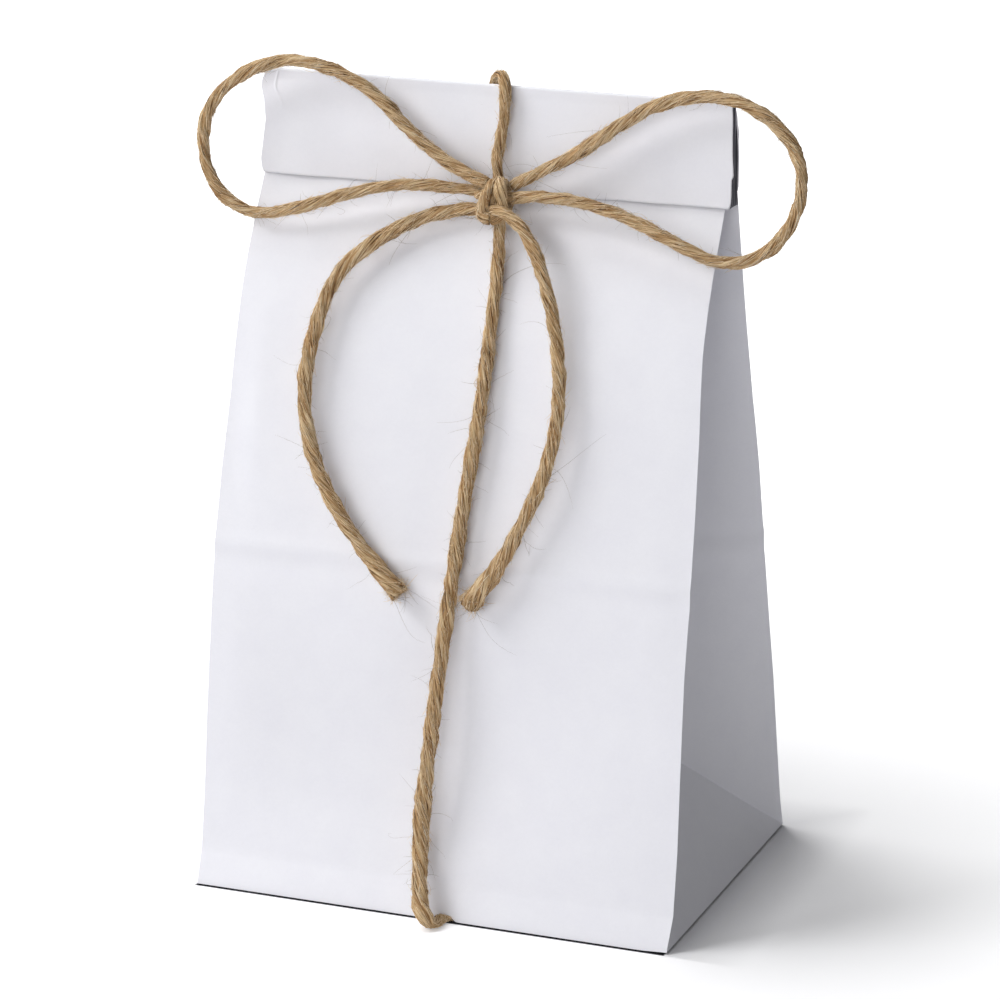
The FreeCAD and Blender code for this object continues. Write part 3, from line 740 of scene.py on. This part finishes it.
RIGHT_LOOP_ROUTE = (
    (8.2, -9.3, 187.0), (13.5, -10.2, 190.2), (25.2, -10.0, 196.3), (36.1, -9.5, 204.4),
    (46.8, -9.5, 211.3), (61.0, -9.5, 214.8), (74.4, -10.5, 212.0), (85.2, -11.5, 202.4),
    (86.8, -14.0, 189.0), (79.2, -15.5, 176.5), (66.8, -16.5, 172.5), (53.6, -16.0, 177.8),
    (41.3, -14.5, 182.5), (28.4, -12.8, 185.2), (15.5, -12.0, 185.6), (8.6, -11.4, 184.3),
)
LEFT_TAIL_ROUTE = (
    (1.5, -10.5, 180.6), (-10.0, -10.8, 180.1), (-25.0, -15.7, 173.1), (-36.7, -20.5, 163.1),
    (-41.1, -25.3, 147.6), (-42.7, -29.2, 132.1), (-38.5, -33.0, 116.5), (-30.4, -35.1, 102.7),
    (-20.0, -36.4, 90.7), (-12.3, -37.2, 83.5),
)
RIGHT_TAIL_ROUTE = (
    (3.6, -13.4, 181.6), (6.6, -16.4, 182.3), (11.0, -17.4, 180.6), (15.4, -19.0, 177.4),
    (20.2, -21.2, 170.0), (26.0, -24.5, 153.2), (28.6, -29.0, 135.2), (26.3, -32.8, 119.4),
    (20.5, -35.3, 104.8), (12.9, -36.8, 90.3), (6.7, -37.5, 83.1),
)
# The knot's own strands: two binding turns over the bow, one sunk between them, the crossing of the
# loops behind all three, and the half hitch below them
KNOT_ROUTES = (
    ((4.4, -7.6, 185.0), (4.4, -8.6, 187.6), (4.0, -12.4, 187.9), (3.6, -14.9, 186.7), (2.9, -15.6, 184.2),
     (2.3, -15.0, 181.8), (2.0, -13.0, 179.8), (2.8, -10.4, 179.4), (3.8, -8.2, 180.6)),
    ((5.6, -7.6, 185.0), (5.3, -8.8, 187.8), (5.8, -12.4, 188.1), (6.8, -14.9, 187.0), (7.5, -15.4, 184.9),
     (7.4, -14.6, 182.5), (6.8, -12.4, 180.8), (6.2, -9.4, 180.8), (6.0, -8.0, 182.5)),
    ((5.0, -8.5, 187.6), (5.0, -11.8, 187.9), (5.2, -13.5, 186.6), (5.3, -13.8, 184.4), (4.9, -13.4, 182.0),
     (4.6, -11.5, 180.4), (4.9, -9.0, 180.2)),
    ((-0.4, -11.4, 184.4), (2.4, -13.2, 184.9), (5.2, -13.8, 185.3), (7.8, -13.0, 184.8),
     (9.6, -11.2, 184.4)),
    ((1.0, -9.5, 182.4), (0.4, -12.0, 181.6), (1.4, -14.4, 180.2), (3.8, -15.4, 179.2), (6.0, -14.4, 179.8),
     (7.2, -11.2, 180.9), (6.8, -9.0, 182.2)),
)


def route_line(name, route, spacing):
    """Evenly spaced points along a smooth line, in mm: the NURBS spline whose control points are
    the route, read back from its own mesh and divided by length."""
    curve = bpy.data.curves.new(name, "CURVE")
    curve.dimensions = "3D"
    spline = curve.splines.new("NURBS")
    spline.points.add(len(route) - 1)
    spline.points.foreach_set("co", np.hstack([np.array(route), np.ones((len(route), 1))]).ravel())
    spline.order_u = 3
    spline.use_endpoint_u = True
    spline.resolution_u = 24
    holder = bpy.data.objects.new(name, curve)
    bpy.context.scene.collection.objects.link(holder)
    mesh = bpy.data.meshes.new_from_object(holder)
    points = np.empty(len(mesh.vertices) * 3)
    mesh.vertices.foreach_get("co", points)
    points = points.reshape(-1, 3)
    bpy.data.objects.remove(holder)
    bpy.data.curves.remove(curve)
    bpy.data.meshes.remove(mesh)
    reach = np.concatenate([[0], np.cumsum(np.linalg.norm(np.diff(points, axis=0), axis=1))])
    at = np.linspace(0, reach[-1], max(8, int(reach[-1] / spacing)))
    return np.stack([np.interp(at, reach, points[:, i]) for i in range(3)], axis=-1), at


ACROSS, ALONG_BAG = (0, 1, 0), (1, 0, 0)
# Each length of twine: its route, the way across it, its seed, places along it with its share of
# the full thickness there, its plain node, what is at its far end, and how it lies
LENGTHS = {
    "twine_round_bag": (
        WRAP_ROUTE, ALONG_BAG, 5, ((0, 26, 50, 346, 354, 362, 370, 378, 386, 396, 480, 520, 545),
                                   (0.8, 0.8, 1.0, 1.0, 1.2, 1.2, 1.08, 1.3, 1.25, 1.08, 1.02, 0.9, 0.85)),
        "twine_wrap", "object", "taut"),
    "bow_left_loop": (LEFT_LOOP_ROUTE, ACROSS, 17, ((0, 60, 130, 192), (0.9, 0.9, 0.86, 0.78)),
                      "bow_loop_left", "object", "loose"),
    "bow_right_loop": (RIGHT_LOOP_ROUTE, ACROSS, 23, ((0, 30, 60, 190), (0.8, 0.95, 0.9, 0.84)),
                       "bow_loop_right", "object", "loose"),
    "bow_left_tail": (LEFT_TAIL_ROUTE, ACROSS, 29, ((0, 20, 122, 133), (0.95, 1.0, 1.05, 1.42)),
                      "bow_tail_left", "bare", "loose"),
    "bow_right_tail": (RIGHT_TAIL_ROUTE, ACROSS, 37, ((0, 20, 100, 113), (0.85, 0.9, 1.0, 1.5)),
                       "bow_tail_right", "bare", "loose"),
}
KNOT_THICKNESS = ((0, 40), (0.86, 0.86))
# Loose fibres of each kind on each millimetre of twine, for a fuzz of one
COAT, ARCHES, NAP, LONG_STRAYS, SHORT_STRAYS = 5.2, 0.25, 2.4, 0.10, 0.30
BRUSH, TUFT = 260, 14  # fibres that stand out of a cut end, short ones and long ones
LAID = {}  # each length of twine that has been laid, for its loose fibres


def carried_frame(line, across):
    """Tangent, normal and third direction at each point of a line: the normal is the given
    direction less its part along the line."""
    across = np.array(across, dtype=float)
    tangent = np.gradient(line, axis=0)
    tangent /= np.linalg.norm(tangent, axis=1, keepdims=True)
    normal = across - tangent * (tangent @ across)[:, None]
    normal /= np.linalg.norm(normal, axis=1, keepdims=True)
    return tangent, normal, np.cross(tangent, normal)


def wander(draw, at, length, size):
    """A smooth random number along a line: a sum of five sine waves of about the given length."""
    total = np.zeros(len(at))
    for _ in range(5):
        total += np.sin(at * math.tau / (length * draw.uniform(0.5, 1.8)) + draw.uniform(0, math.tau))
    return total * size / 2.2


class Strand:
    """A length of three-ply twine laid along a line. Its surface stands off the line by a reach that
    depends on how far along it is and on the angle round it: the radius, which swells and thins,
    times 0.67 + 0.21 |cos 1.5 (angle - turn)|^0.6, which leaves a groove between each two plies,
    plus low ridges for the bundles of fibres, each a cosine of a whole number of angles. The turn
    is -2 pi s / lay, and the ring itself turns back by the slant at which the fibres lie. Where the
    line runs on the floor the bag presses it flat: its height shrinks to 0.36."""

    SLANT = 0.19  # radians for each mm

    def __init__(self, route, across, seed, thickness, sizes, spacing=0.62, sides=56):
        draw = np.random.default_rng(seed)
        self.line, self.at = route_line("strand", route, spacing)
        self.tangent, self.normal, self.third = carried_frame(self.line, across)
        self.angles = np.linspace(0, math.tau, sides, endpoint=False)
        ring, along = self.angles[None, :], self.at[:, None]
        turn = (draw.uniform(0, math.tau) - math.tau * self.at / (sizes.lay / MM)
                + wander(draw, self.at, 45, 0.35))
        section = 0.67 + 0.21 * np.abs(np.cos(1.5 * (ring - self.SLANT * along - turn[:, None]))) ** 0.6
        for count in range(4, 20):
            drift = draw.uniform(0, math.tau) + wander(draw, self.at, 9, 1.8)[:, None]
            section = section + 0.017 * np.cos(count * ring + drift)
        swell = 1 + wander(draw, self.at, 21, 0.06) + wander(draw, self.at, 7, 0.045)
        radius = sizes.diameter / MM / 2 * np.interp(self.at, *thickness)
        self.reach = (radius * swell)[:, None] * section
        self.pressed = 0.36 + 0.64 * ease(1.0, 5.0, self.line[:, 2])

    def place(self, where, angle, over):
        """Points at distances along the line, at the ring's angles and so far over the surface, and
        the way out there; between its steps the reach is mixed in straight lines."""
        rows, sides = self.reach.shape
        row = np.clip(where / self.at[-1], 0, 0.999999) * (rows - 1)
        column = np.mod(angle / math.tau * sides, sides)
        low, left = row.astype(int), column.astype(int) % sides
        part, share = row - low, column - np.floor(column)
        right = (left + 1) % sides
        near = self.reach[low, left] * (1 - share) + self.reach[low, right] * share
        far = self.reach[low + 1, left] * (1 - share) + self.reach[low + 1, right] * share
        base, normal, third = (track[low] * (1 - part)[..., None] + track[low + 1] * part[..., None]
                               for track in (self.line, self.normal, self.third))
        turned = angle - self.SLANT * where
        way = np.cos(turned)[..., None] * normal + np.sin(turned)[..., None] * third
        stand = way * (near * (1 - part) + far * part + over)[..., None]
        stand[..., 2] *= self.pressed[low] * (1 - part) + self.pressed[low + 1] * part
        return base + stand, way

    def surface(self, seed):
        """Its points, faces and UVs, with a shallow hollow at each end. The map's units are
        millimetres along and round the strand, moved along for each seed."""
        shift = seed * 37.0
        along, ring = np.meshgrid(self.at, self.angles, indexing="ij")
        points, _ = self.place(along, ring, 0 * along)
        uv = np.stack([along + shift, np.abs(ring - math.pi) * 2.0 + 0.37 * shift], axis=-1)
        parts = [(points.reshape(-1, 3), grid_faces(*along.shape, closed=True), uv.reshape(-1, 2))]
        for row, outward in ((0, -1), (-1, 1)):
            parts.append(end_hollow(points[row], self.tangent[row] * outward, uv[row]))
        return parts


def end_hollow(ring, outward, uv):
    """A cut end: rings that shrink to the middle and sink by 0.35 mm times the cosine of the share
    of the radius that is left."""
    left = np.array([1.0, 0.8, 0.55, 0.25, 0.001])
    middle = ring.mean(axis=0)
    sink = 0.35 * np.cos(left * math.pi / 2)
    points = (middle + (ring - middle)[None] * left[:, None, None] - outward * sink[:, None, None])
    return points.reshape(-1, 3), grid_faces(len(left), len(ring), closed=True), np.tile(uv, (len(left), 1))


def twine_piece(name, parts, node):
    """A piece of twine from its parts' points in mm, faces and UVs, which stands for its plain
    node."""
    points, faces, uv = join(parts)
    piece = welded(add_piece(name, points * MM, faces, uv), TWINE_WELD)
    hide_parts(node)
    wear(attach(piece, "root"), bpy.data.materials[TWINE_FINISH])
    return piece


def lay_twine(name, sizes):
    """A length of twine along its route, which stands for its plain node."""
    route, across, seed, thickness, node, far_end, lay = LENGTHS[name]
    strand = LAID[name] = Strand(route, across, seed, thickness, sizes)
    piece = twine_piece(name, strand.surface(seed), node)


def hair_tubes(centres, thickness):
    """Thin three-sided tubes round many curved lines at once. Centres has one row of points for
    each hair; the sides stand at thirds of a turn round each line, and taper to its tip."""
    along = np.gradient(centres, axis=1)
    along /= np.linalg.norm(along, axis=2, keepdims=True) + 1e-12
    lean = np.array([0.31, 0.53, 0.79])
    first = lean - along * (along @ lean)[..., None]
    first /= np.linalg.norm(first, axis=2, keepdims=True)
    second = np.cross(along, first)
    hairs, steps, _ = centres.shape
    taper = (thickness[:, None] / 2) * (1 - 0.7 * np.linspace(0, 1, steps)[None, :] ** 2)
    turn = np.arange(3) * math.tau / 3
    points = (centres[:, :, None, :] + taper[:, :, None, None]
              * (np.cos(turn)[None, None, :, None] * first[:, :, None, :]
                 + np.sin(turn)[None, None, :, None] * second[:, :, None, :]))
    single = grid_faces(steps, 3, closed=True)
    starts = np.arange(hairs) * steps * 3
    faces = (single[None, :, :] + starts[:, None, None]).reshape(-1, 4)
    rows = np.linspace(0, 6, steps)[None, :, None]
    uv = np.stack(np.broadcast_arrays(rows + 23.0 * np.arange(hairs)[:, None, None],
                                      np.arange(3)[None, None, :] * 0.05), axis=-1)
    return points.reshape(-1, 3), faces, uv.reshape(-1, 2)


def stretches(strand, draw, count, lengths, steps):
    """Random stretches of a strand, one for each fibre: the shares of its steps, where it starts,
    and how far it goes, forwards or backwards."""
    start = draw.uniform(0, strand.at[-1], count)[:, None]
    reach = (draw.uniform(*lengths, count) * draw.choice([-1, 1], count))[:, None]
    return np.linspace(0, 1, steps)[None, :], start, reach


def coat(strand, draw, count, thickness):
    """Fibres that lie on a strand: each goes along it for a few millimetres, most at nearly the
    ring's own slant and some across it, and rises over it by a small height times sin(pi share).
    Fibres over the grooves are left out."""
    share, start, reach = stretches(strand, draw, count, (2.0, 7.5), 4)
    lean = draw.normal(0, 0.05, count)
    lean = lean + draw.choice([0, 1], count, p=[0.7, 0.3]) * draw.normal(0, 0.16, count)
    angle = draw.uniform(0, math.tau, count)[:, None] + lean[:, None] * reach * share
    over = 0.02 + np.abs(draw.normal(0, 0.09, count))[:, None] * np.sin(math.pi * share)
    centres, _ = strand.place(start + reach * share, angle, over)
    rows, sides = strand.reach.shape
    row = np.clip((start + reach / 2) / strand.at[-1] * (rows - 1), 0, rows - 1).astype(int)[:, 0]
    column = np.mod(angle[:, 2] / math.tau * sides, sides).astype(int) % sides
    raised = strand.reach[row, column] > 0.86 * strand.reach[row].max(axis=1)
    return hair_tubes(centres[raised], draw.uniform(0.9, 1.8, count)[raised] * thickness)


def arches(strand, draw, count, thickness):
    """Fibres that have sprung from a strand at their middles, and stand off it by up to a
    millimetre, their height going as sin(pi share) to a random power."""
    share, start, reach = stretches(strand, draw, count, (3, 9), 8)
    angle = draw.uniform(0, math.tau, count)[:, None]
    angle = angle + draw.normal(-0.05, 0.14, count)[:, None] * reach * share
    high = np.abs(draw.normal(0, 0.45, count))[:, None] + 0.1
    over = high * np.sin(math.pi * share) ** draw.uniform(0.8, 2.0, count)[:, None] - 0.05
    centres, _ = strand.place(start + reach * share, angle, over)
    return hair_tubes(centres, draw.uniform(0.6, 1.1, count) * thickness)


def nap(strand, draw, count, thickness):
    """Short ends that stand out of a strand: each goes along it by a millimetre or two while it
    rises by a share of that, and curves a little round it."""
    share, start, reach = stretches(strand, draw, count, (0.7, 3.0), 4)
    angle = draw.uniform(0, math.tau, count)[:, None] + draw.normal(0, 0.3, count)[:, None] * share
    over = np.abs(reach) * draw.uniform(0.1, 0.6, count)[:, None] * share ** 1.3 - 0.05
    centres, _ = strand.place(start + reach * share, angle, over)
    return hair_tubes(over_paper(centres), draw.uniform(0.7, 1.2, count) * thickness)


def strays(strand, draw, count, thickness, reach, at=None, away=(0.1, 0.8)):
    """Fibres with one end free: each starts just inside the strand, where the bag doesn't press it,
    leaves it at a slant, and bends by a random walk. Its heading is the first one plus a running sum
    of small random turns, brought back to a length of one, and its points are the running sum of
    the headings."""
    steps, root = 12, np.full(count, -0.15)
    start = draw.choice(strand.at[strand.pressed > 0.95], count) if at is None else at
    angle = draw.uniform(0, math.tau, count)
    base, way = strand.place(start, angle, root)
    along = strand.place(start + 0.5, angle, root)[0] - strand.place(start - 0.5, angle, root)[0]
    along = along / (np.linalg.norm(along, axis=-1, keepdims=True) + 1e-9)
    along *= draw.choice([-1, 1], count)[:, None] if at is None else 1
    lift = draw.uniform(*away, count)[:, None]
    heading = along * np.sqrt(1 - lift**2) + way * lift
    walk = np.cumsum(np.cumsum(draw.normal(0, 0.09, (count, steps, 3)), axis=1)
                     + draw.normal(0, 0.145, (count, 1, 3)), axis=1)
    headings = heading[:, None, :] + walk
    headings /= np.linalg.norm(headings, axis=-1, keepdims=True)
    run = (draw.gamma(2.2, 1.0, count) * reach / 2.2 + 1.2)[:, None, None]
    centres = base[:, None, :] + np.cumsum(headings, axis=1) * run / steps
    centres = np.concatenate([base[:, None, :], centres], axis=1)
    return hair_tubes(over_paper(centres), draw.uniform(0.45, 0.8, count) * thickness)


def over_paper(points):
    """The points, kept off the bag: those in front stay before the front panel or the folded mouth,
    and those behind stay behind the back panel. None goes further than 6 mm past the plain model,
    or into the floor."""
    x, y, z = np.moveaxis(points, -1, 0)
    mouth = np.interp(z, [183, LIP, 209, 212], [0, -6.4, -3.1, 0])  # the front of the folded mouth
    front = np.where(z < LIP, paper_y(x, z, -1), mouth) - 0.14
    back = np.where(z < LIP, paper_y(x, z, 1), 1.2) + 0.14
    beside = (np.abs(x) < 66) & (z < 210)
    y = np.where(beside & (y < 0), np.minimum(y, front), np.where(beside & (y >= 0), np.maximum(y, back), y))
    low, high = (np.array(corner) / MM for corner in CAD_BOX)
    return np.clip(np.stack([x, y, z], axis=-1), [*(low[:2] - 6), 0.05], high + 6)


def close_fibres(strand, seed, sizes, cut):
    """The fibres that stay close to a length of twine. Where it is cut, short ones stand out of its
    end like a brush."""
    draw = np.random.default_rng(seed)
    end, thickness, many = strand.at[-1], sizes.fibre / MM, sizes.fuzz
    parts = [coat(strand, draw, int(many * COAT * end), thickness * 1.2),
             arches(strand, draw, int(many * ARCHES * end), thickness),
             nap(strand, draw, int(many * NAP * end), thickness * 1.1)]
    if cut:
        roots = draw.uniform(end - 4, end, BRUSH)
        parts.append(strays(strand, draw, BRUSH, thickness * 1.5, 1.1, roots, (-0.7, 0.7)))
    return parts


def far_fibres(strand, seed, sizes, cut):
    """The fibres that stray from a length of twine, some of them far."""
    draw = np.random.default_rng(seed + 500)
    end, thickness, many = strand.at[-1], sizes.fibre / MM, sizes.fuzz
    parts = [strays(strand, draw, int(many * LONG_STRAYS * end), thickness, 6.0),
             strays(strand, draw, int(many * SHORT_STRAYS * end), thickness * 1.1, 2.6)]
    if cut:
        parts.append(strays(strand, draw, TUFT, thickness, 6.0, np.full(TUFT, end - 0.6), (-0.5, 0.5)))
    return parts


def raise_fibres(name, strands, sizes, cut=False):
    """Two pieces of loose fibres for some strands: those close to them, and the far ones."""
    for make, kind, finish in ((close_fibres, "_fibres", CLOSE_FINISH),
                               (far_fibres, "_stray_fibres", LOOSE_FINISH)):
        tubes = [tube for seed, strand in strands for tube in make(strand, seed, sizes, cut)]
        points, faces, uv = join(tubes)
        piece = add_piece(name + kind, points * MM, faces, uv)
        wear(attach(piece, "root"), bpy.data.materials[finish])


# ---- operators


class PAPERBAG_OT_fold(bpy.types.Operator):
    """Fold the tube of the bag with its side gussets and its base"""

    bl_idname = "paperbag.fold"
    bl_label = "Fold the bag"

    def execute(self, context):
        fold_bag(bleached_kraft(context.scene.bag_finishes.paper))
        return {"FINISHED"}


class PAPERBAG_OT_mouth(bpy.types.Operator):
    """Fold the mouth forward: the outer lip, the gusset layers and the front layer; and paste the
    lap seam and the base's flaps"""

    bl_idname = "paperbag.mouth"
    bl_label = "Fold the mouth"

    def execute(self, context):
        sizes = context.scene.bag_sizes
        paper = bpy.data.materials[PAPER_FINISH]
        inner = LIP + sizes.lip_gap / MM
        gusset = ((-62, -18), (18, 62))
        for name, inset, lip_end, spans in (
            ("mouth_outer_lip", 0.0, LIP, (MOUTH_SIDES,)),
            ("mouth_gusset_back", 0.34, inner + 0.4, gusset),
            ("mouth_gusset_front", 0.66, inner + 0.1, gusset),
            ("mouth_inner_layer", 0.98, inner, ((-62.2, 62.2),)),
        ):
            mouth_layer(name, inset, lip_end, spans, paper, sizes.paper)
        # dark strips of painted shade at the folded mouth's two open ends
        mouth_fold_ends_painted_shade(painted_fold_shade())
        seam_strip(sizes, paper)
        bottom_flaps(sizes, paper)
        return {"FINISHED"}


class TWINE_OT_wrap(bpy.types.Operator):
    """Take the twine round the bag, tight, from the knot over the top and back under the base"""

    bl_idname = "twine.wrap"
    bl_label = "Wrap the bag"

    def execute(self, context):
        tones = context.scene.bag_finishes
        # the twine's body takes a darker copy of the fibres' finish: painted shade among its fibres
        jute_finish(TWINE_FINISH, tones.jute_middle, tones.jute_core_painted_shade, PAINTED_GROOVE_SHADE)
        jute_finish(CLOSE_FINISH, tones.jute_light, tones.jute_middle, tones.jute_dark)
        jute_finish(LOOSE_FINISH, *WEATHERED)
        lay_twine("twine_round_bag", context.scene.twine_sizes)
        return {"FINISHED"}


class TWINE_OT_bow(bpy.types.Operator):
    """Lay the bow's two loops and its two tails"""

    bl_idname = "twine.bow"
    bl_label = "Lay the bow"

    def execute(self, context):
        for name in ("bow_left_loop", "bow_right_loop", "bow_left_tail", "bow_right_tail"):
            lay_twine(name, context.scene.twine_sizes)
        return {"FINISHED"}


class TWINE_OT_knot(bpy.types.Operator):
    """Tie the bow's knot: three binding turns, the crossing behind them and the half hitch below,
    all drawn thin"""

    bl_idname = "twine.knot"
    bl_label = "Tie the knot"

    def execute(self, context):
        sizes = context.scene.twine_sizes
        strands = [(seed, Strand(route, (1, 0.2, 0.1), seed, KNOT_THICKNESS, sizes, spacing=0.3, sides=44))
                   for seed, route in enumerate(KNOT_ROUTES, start=41)]
        turns = [part for seed, strand in strands for part in strand.surface(seed)]
        twine_piece("bow_knot_turns", turns, "bow_knot")
        raise_fibres("bow_knot", strands, sizes)
        return {"FINISHED"}


class TWINE_OT_fibres(bpy.types.Operator):
    """Raise the loose fibres on every length of twine"""

    bl_idname = "twine.fibres"
    bl_label = "Raise the fibres"

    def execute(self, context):
        sizes = context.scene.twine_sizes
        for seed, (name, strand) in enumerate(LAID.items(), start=71):
            raise_fibres(name, [(seed, strand)], sizes, "tail" in name)
        return {"FINISHED"}


# Name, degrees round to the left of the front, degrees up, distance and size in metres, and the
# light that a white card facing the lamp from the bag's place would take in
LAMPS = (
    ("left_key", 58, 40, 1.5, 0.6, 0.455),
    ("front_fill", 6, 13, 1.5, 1.2, 0.49),
    ("right_fill", -80, -4, 0.6, 0.3, 0.145),
    ("back_left_floor", 105, 60, 1.5, 1.0, 0.72),
)
LAMPS_AIM = 0.1  # height that the lamps face, in metres
WORLD_LEVEL = 0.01
CAMERA_TURN, CAMERA_TILT = math.radians(21.32), math.radians(16.89)  # to the right, and down
CAMERA_AIM, CAMERA_AWAY = (0.00096, 0, 0.09991), 1.1102  # metres
CAMERA_LENS = 151.72  # mm, on a sensor 36 mm wide


class STUDIO_OT_stage(bpy.types.Operator):
    """Set the floor, the lamps, the world and the camera"""

    bl_idname = "studio.stage"
    bl_label = "Set the stage"

    def execute(self, context):
        corners = np.array([(-4, -4, 0), (4, -4, 0), (4, 6, 0), (-4, 6, 0)], dtype=float)
        floor = add_piece("studio_floor", corners, [(0, 1, 2, 3)], smooth=False)
        floor.data.materials.append(studio_floor(context.scene.bag_finishes.floor))
        set_world(context.scene)
        for name, side, height, distance, size, level in LAMPS:
            add_lamp(name, math.radians(side), math.radians(height), distance, size, level)
        add_camera(context.scene)
        context.scene.view_settings.view_transform = "Standard"
        return {"FINISHED"}


def set_world(scene):
    """A plain world: a soft grey light on the object, and white where the camera, a reflection or
    glass looks past it."""
    world = scene.world = bpy.data.worlds.new("studio_world")
    world.use_nodes = True
    tree = world.node_tree
    tree.nodes.clear()
    light = add_node(tree, "ShaderNodeBackground", {"Color": (0.96, 0.97, 1.0, 1), "Strength": WORLD_LEVEL})
    white = add_node(tree, "ShaderNodeBackground", {"Color": (1, 1, 1, 1), "Strength": 1.0})
    mix = add_node(tree, "ShaderNodeMixShader", None,
                   {0: white_rays(tree), 1: light.outputs["Background"], 2: white.outputs["Background"]})
    add_node(tree, "ShaderNodeOutputWorld", None, {"Surface": mix.outputs["Shader"]})


def add_lamp(name, side, height, distance, size, level):
    """A square soft box round the bag at two angles and a distance, facing it. Its power is the
    level times the square of pi times the distance, as a flat lamp spreads it."""
    lamp = bpy.data.lights.new(name, "AREA")
    lamp.shape = "SQUARE"
    lamp.size = size
    lamp.energy = level * (math.pi * distance) ** 2
    holder = bpy.data.objects.new(name, lamp)
    holder.location = (-math.sin(side) * math.cos(height) * distance,
                       -math.cos(side) * math.cos(height) * distance,
                       math.sin(height) * distance + LAMPS_AIM)
    holder.rotation_euler = (math.pi / 2 - height, 0, -side)
    bpy.context.scene.collection.objects.link(holder)


def add_camera(scene):
    """A long lens from the front and a little to the right and above."""
    flat = math.cos(CAMERA_TILT)
    ahead = np.array([-math.sin(CAMERA_TURN) * flat, math.cos(CAMERA_TURN) * flat, -math.sin(CAMERA_TILT)])
    camera = bpy.data.cameras.new("studio_camera")
    camera.sensor_width = 36.0
    camera.lens = CAMERA_LENS
    camera.clip_end = 20
    holder = bpy.data.objects.new("studio_camera", camera)
    holder.location = np.array(CAMERA_AIM) - ahead * CAMERA_AWAY
    holder.rotation_euler = (math.pi / 2 - CAMERA_TILT, 0, CAMERA_TURN)
    scene.collection.objects.link(holder)
    scene.camera = holder


class PAPERBAG_PT_panel(bpy.types.Panel):
    """Sizes, colours and steps"""

    bl_idname = "PAPERBAG_PT_panel"
    bl_label = "Paper Bag"
    bl_space_type = "VIEW_3D"
    bl_region_type = "UI"
    bl_category = "Paper Bag"

    def draw(self, context):
        scene = context.scene
        for group in (scene.bag_sizes, scene.twine_sizes, scene.bag_finishes):
            box = self.layout.box()
            for name in group.__annotations__:
                box.prop(group, name)
        for operator in OPERATORS:
            self.layout.operator(operator.bl_idname)


GROUPS = (BagSizes, TwineSizes, Finishes)
OPERATORS = (PAPERBAG_OT_fold, PAPERBAG_OT_mouth, TWINE_OT_wrap, TWINE_OT_bow, TWINE_OT_knot,
             TWINE_OT_fibres, STUDIO_OT_stage)


def register():
    """Makes the classes and the scene's settings known."""
    for item in GROUPS + OPERATORS + (PAPERBAG_PT_panel,):
        bpy.utils.register_class(item)
    bpy.types.Scene.bag_sizes = PointerProperty(type=BagSizes)
    bpy.types.Scene.twine_sizes = PointerProperty(type=TwineSizes)
    bpy.types.Scene.bag_finishes = PointerProperty(type=Finishes)


def unregister():
    """Takes them away again."""
    del bpy.types.Scene.bag_sizes, bpy.types.Scene.twine_sizes, bpy.types.Scene.bag_finishes
    for item in reversed(GROUPS + OPERATORS + (PAPERBAG_PT_panel,)):
        bpy.utils.unregister_class(item)


def main():
    register()
    bpy.ops.paperbag.fold()
    bpy.ops.paperbag.mouth()
    bpy.ops.twine.wrap()
    bpy.ops.twine.bow()
    bpy.ops.twine.knot()
    bpy.ops.twine.fibres()
    bpy.ops.studio.stage()


if __name__ == "__main__":
    main()
